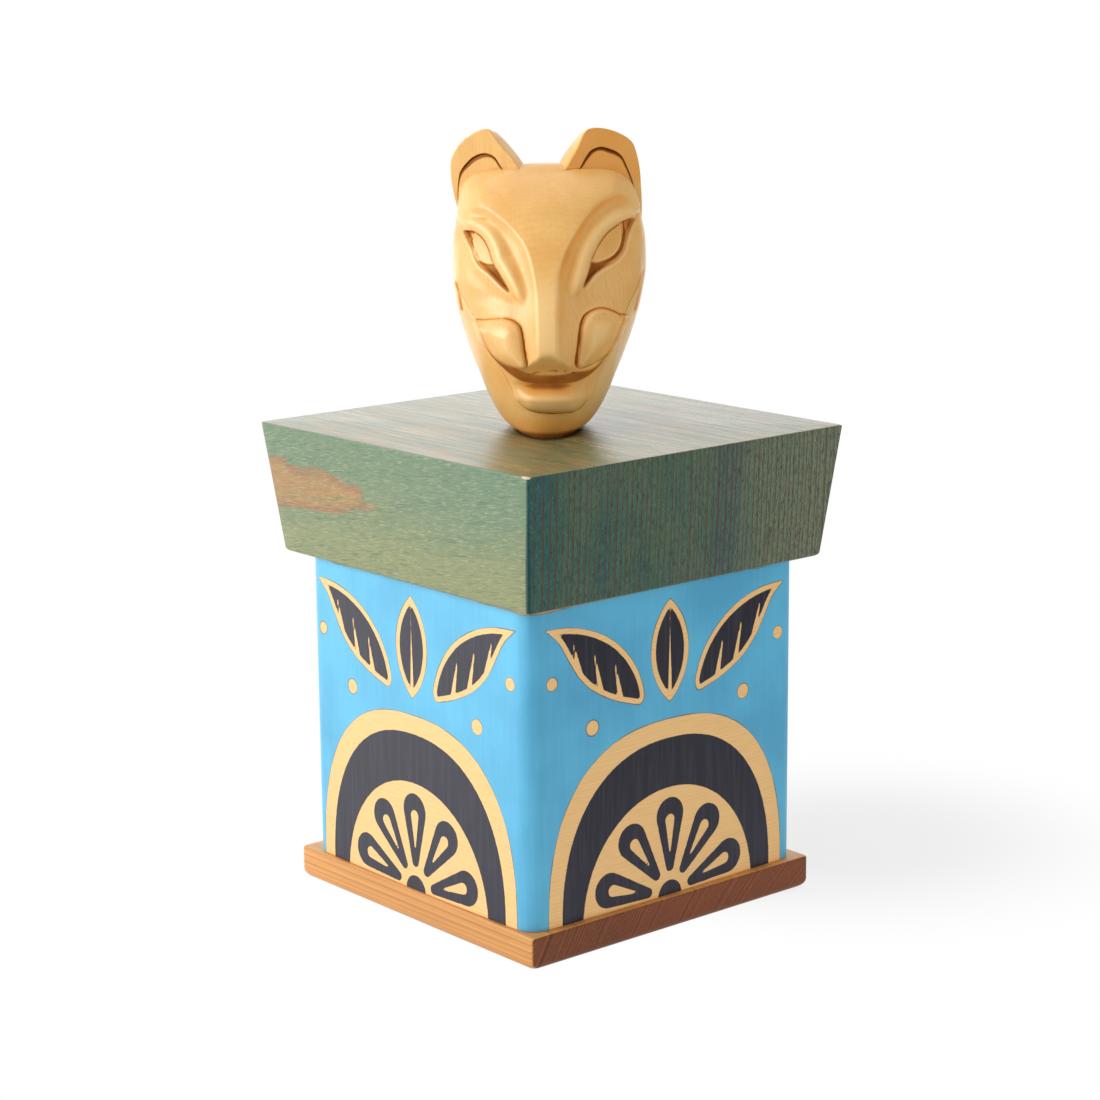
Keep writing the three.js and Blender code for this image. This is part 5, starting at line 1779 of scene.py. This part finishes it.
    # The seams of the joined ears have uneven triangles, whose measure says nothing
    plain = (1 - ease(inEar, -3, -1) * (w > 82)) * ease(w, 99, 97)
    keepField(piece, "hollow", np.clip(hollowness(piece, 3), -1, 1) * plain)


oiledValues = {
    "pale": (0.83, 0.485, 0.156),
    "warm": (0.77, 0.408, 0.107),
    "ringLine": (0.68, 0.33, 0.075),
    "amber": (0.80, 0.370, 0.082),
    "brown": (0.38, 0.112, 0.014),
    "deepBrown": (0.155, 0.040, 0.006),
    # Pale for rubbed wood, and as painted light on the jaw's shaded right side
    "rubbed": (0.90, 0.595, 0.245),
    "ringWidth": 1.25,
    "axisBehind": 150.0,
    "wave": 4.0,
    "waveScale": 30.0,
    "tilt": 0.05,  # how much the growth lines lean
    "ringPower": 3.0,
    "fibre": (1100.0, 3.0, 0.6, (1, 1, 0.04)),  # noises: scale, detail, roughness and stretch
    "cloud": (55.0, 3.0, 0.55),
    "speck": (700.0, 2.0, 0.6),
    "broken": (420.0,),
    # Fits: from and to, and what they give
    "warmClouds": (0.35, 0.7),
    "grainFibres": (0.45, 0.8, 0.0, 0.45),
    "wornRidges": (-0.02, -0.16, 0.0, 0.45),
    "hollowShade": (0.05, 0.18, 0.0, 0.8),
    "earCutShade": (0.0, 0.08, 0.0, 0.75),
    "tonedSpecks": (0.66, 0.76, 0.0, 0.35),
    "deepEar": (0.2, 0.4, 0.0, 0.8),
    "deepBrowns": (0.6, 1.0, 0.0, 0.6),
    "dots": (0.42, 0.6),
    "toneClouds": (0.3, 0.7, 0.75, 1.1),
    "roughClouds": (0.3, 0.7, 0.42, 0.50),
    "amberTone": (0.0, 0.35),
    "brownTone": (0.25, 1.0),
    "shine": (0.0, 0.7, 0.42, 0.10),
    "coat": (0.0, 0.5, 0.30, 0.0),
    "lipCoat": (0.5, 2.0, 0.0, 0.35),
    "edgeLines": {"eyes": (0.5, 0.3), "mouth": (0.4, 0.3), "lip": (0.35, 0.5)},  # width and strength
}


def oiledMaterial(values, head):
    recipe = surfaceRecipe("oiledCedar", Coat_Roughness=0.24)
    place = recipe.place()
    x, y, z = recipe.parts(place)
    axis = -values["axisBehind"] * headTurn(head)[1][:2]
    radius = ringRadius(recipe, values, (x, y), axis.tolist(), (1, 1, 0.3)) + z * values["tilt"]
    ring = (radius / (values["ringWidth"] * mm)).sum("FRACT")
    fibre, cloud, speck, broken = recipe.noises(place, values, "fibre", "cloud", "speck", "broken")
    hollow, brown, ear = (recipe.field(name) for name in ("hollow", "brown", "ear"))

    colour = recipe.mix(cloud.fit(*values["warmClouds"]), values["pale"], values["warm"])
    grain = ring ** values["ringPower"] * 0.24 + fibre.fit(*values["grainFibres"])
    # Ridges and rubbed parts turn pale; on the jaw's right side the pale is painted light
    worn = hollow.fit(*values["wornRidges"]).orMore(recipe.field("rubbed") * 0.8)
    colour = colour.under(grain, values["ringLine"]).under(worn, values["rubbed"])

    # Painted shade: thin dark lines along the edges of the cuts
    thin = (recipe.field("dots") * broken.fit(*values["dots"])).orMore(ear.fit(*values["deepEar"]))
    for name, (width, strength) in values["edgeLines"].items():
        thin = thin.orMore(abs(recipe.field(name)).fit(0.06, width, strength, 0.0))
    # Painted shade darkens the cuts, the ear cuts and the hollows, and the wood is toned in random specks;
    # both vary from place to place
    uneven = cloud.fit(*values["toneClouds"])
    tone = hollow.fit(*values["hollowShade"]).orMore(brown * 0.9).orMore(ear.fit(*values["earCutShade"]))
    tone = (tone.orMore(speck.fit(*values["tonedSpecks"])) * uneven).orLess(1.0)
    deep = (thin.orMore(brown.fit(*values["deepBrowns"])) * uneven).orLess(1.0)
    # Light painted shade turns amber, as painted warm light thrown back into the hollows, and deeper shade
    # brown
    colour = colour.under(tone.fit(*values["amberTone"]), values["amber"])
    colour = colour.under(tone.fit(*values["brownTone"]), values["brown"]).under(deep, values["deepBrown"])
    matt = tone.orMore(deep)
    coat = matt.fit(*values["coat"]) + recipe.field("lip").fit(*values["lipCoat"])
    return recipe.use(Base_Color=colour, Roughness=tone * 0.2 + cloud.fit(*values["roughClouds"]),
                      Specular_IOR_Level=matt.fit(*values["shine"]), Coat_Weight=coat,
                      Normal=recipe.bump(speck * 0.3 + fibre, 0.05, 0.35))


def dowelBar(values, name, clearance):
    start = headPlace(values, 0.0, values["dowelForward"], 0.0)
    low = start - (0, 0, values["dowelInLid"])
    high = start + (0, 0, values["dowelInHead"])
    return closedSkin(name, barRings(values["dowelDiameter"] / 2 - clearance, low, high))


lid = buildLid(lidValues, sideValues)
combine(lid, dowelBar(headValues, "hole", 0.0), "DIFFERENCE")
finishPiece(lid, "stained_lid_block", stainMaterial(stainValues, lidValues), "lid", "stained_lid", "lid")
print("lid made")

head = headSkin(headValues, carvingValues)
for i in (0, 1):
    combine(head, earSkin(headValues, i), "UNION")
for i in (0, 1):
    combine(head, earCut(headValues, i), "DIFFERENCE")
combine(head, dowelBar(headValues, "hole", 0.0), "DIFFERENCE")
markHead(head, headValues, carvingValues, shadeLightAndWearValues)
blendEars(head, headValues, carvingValues)
oiledWood = oiledMaterial(oiledValues, headValues)
finishPiece(head, "oiled_head", oiledWood, "lid", "head_wood", "carved_head", crease=50)
dowel = dowelBar(headValues, "turned_dowel", headValues["dowelClearance"])
finishPiece(dowel, "turned_dowel", pegWood, "lid", "peg_wood", "head_dowel")
print("head made:", len(head.data.polygons), "faces")
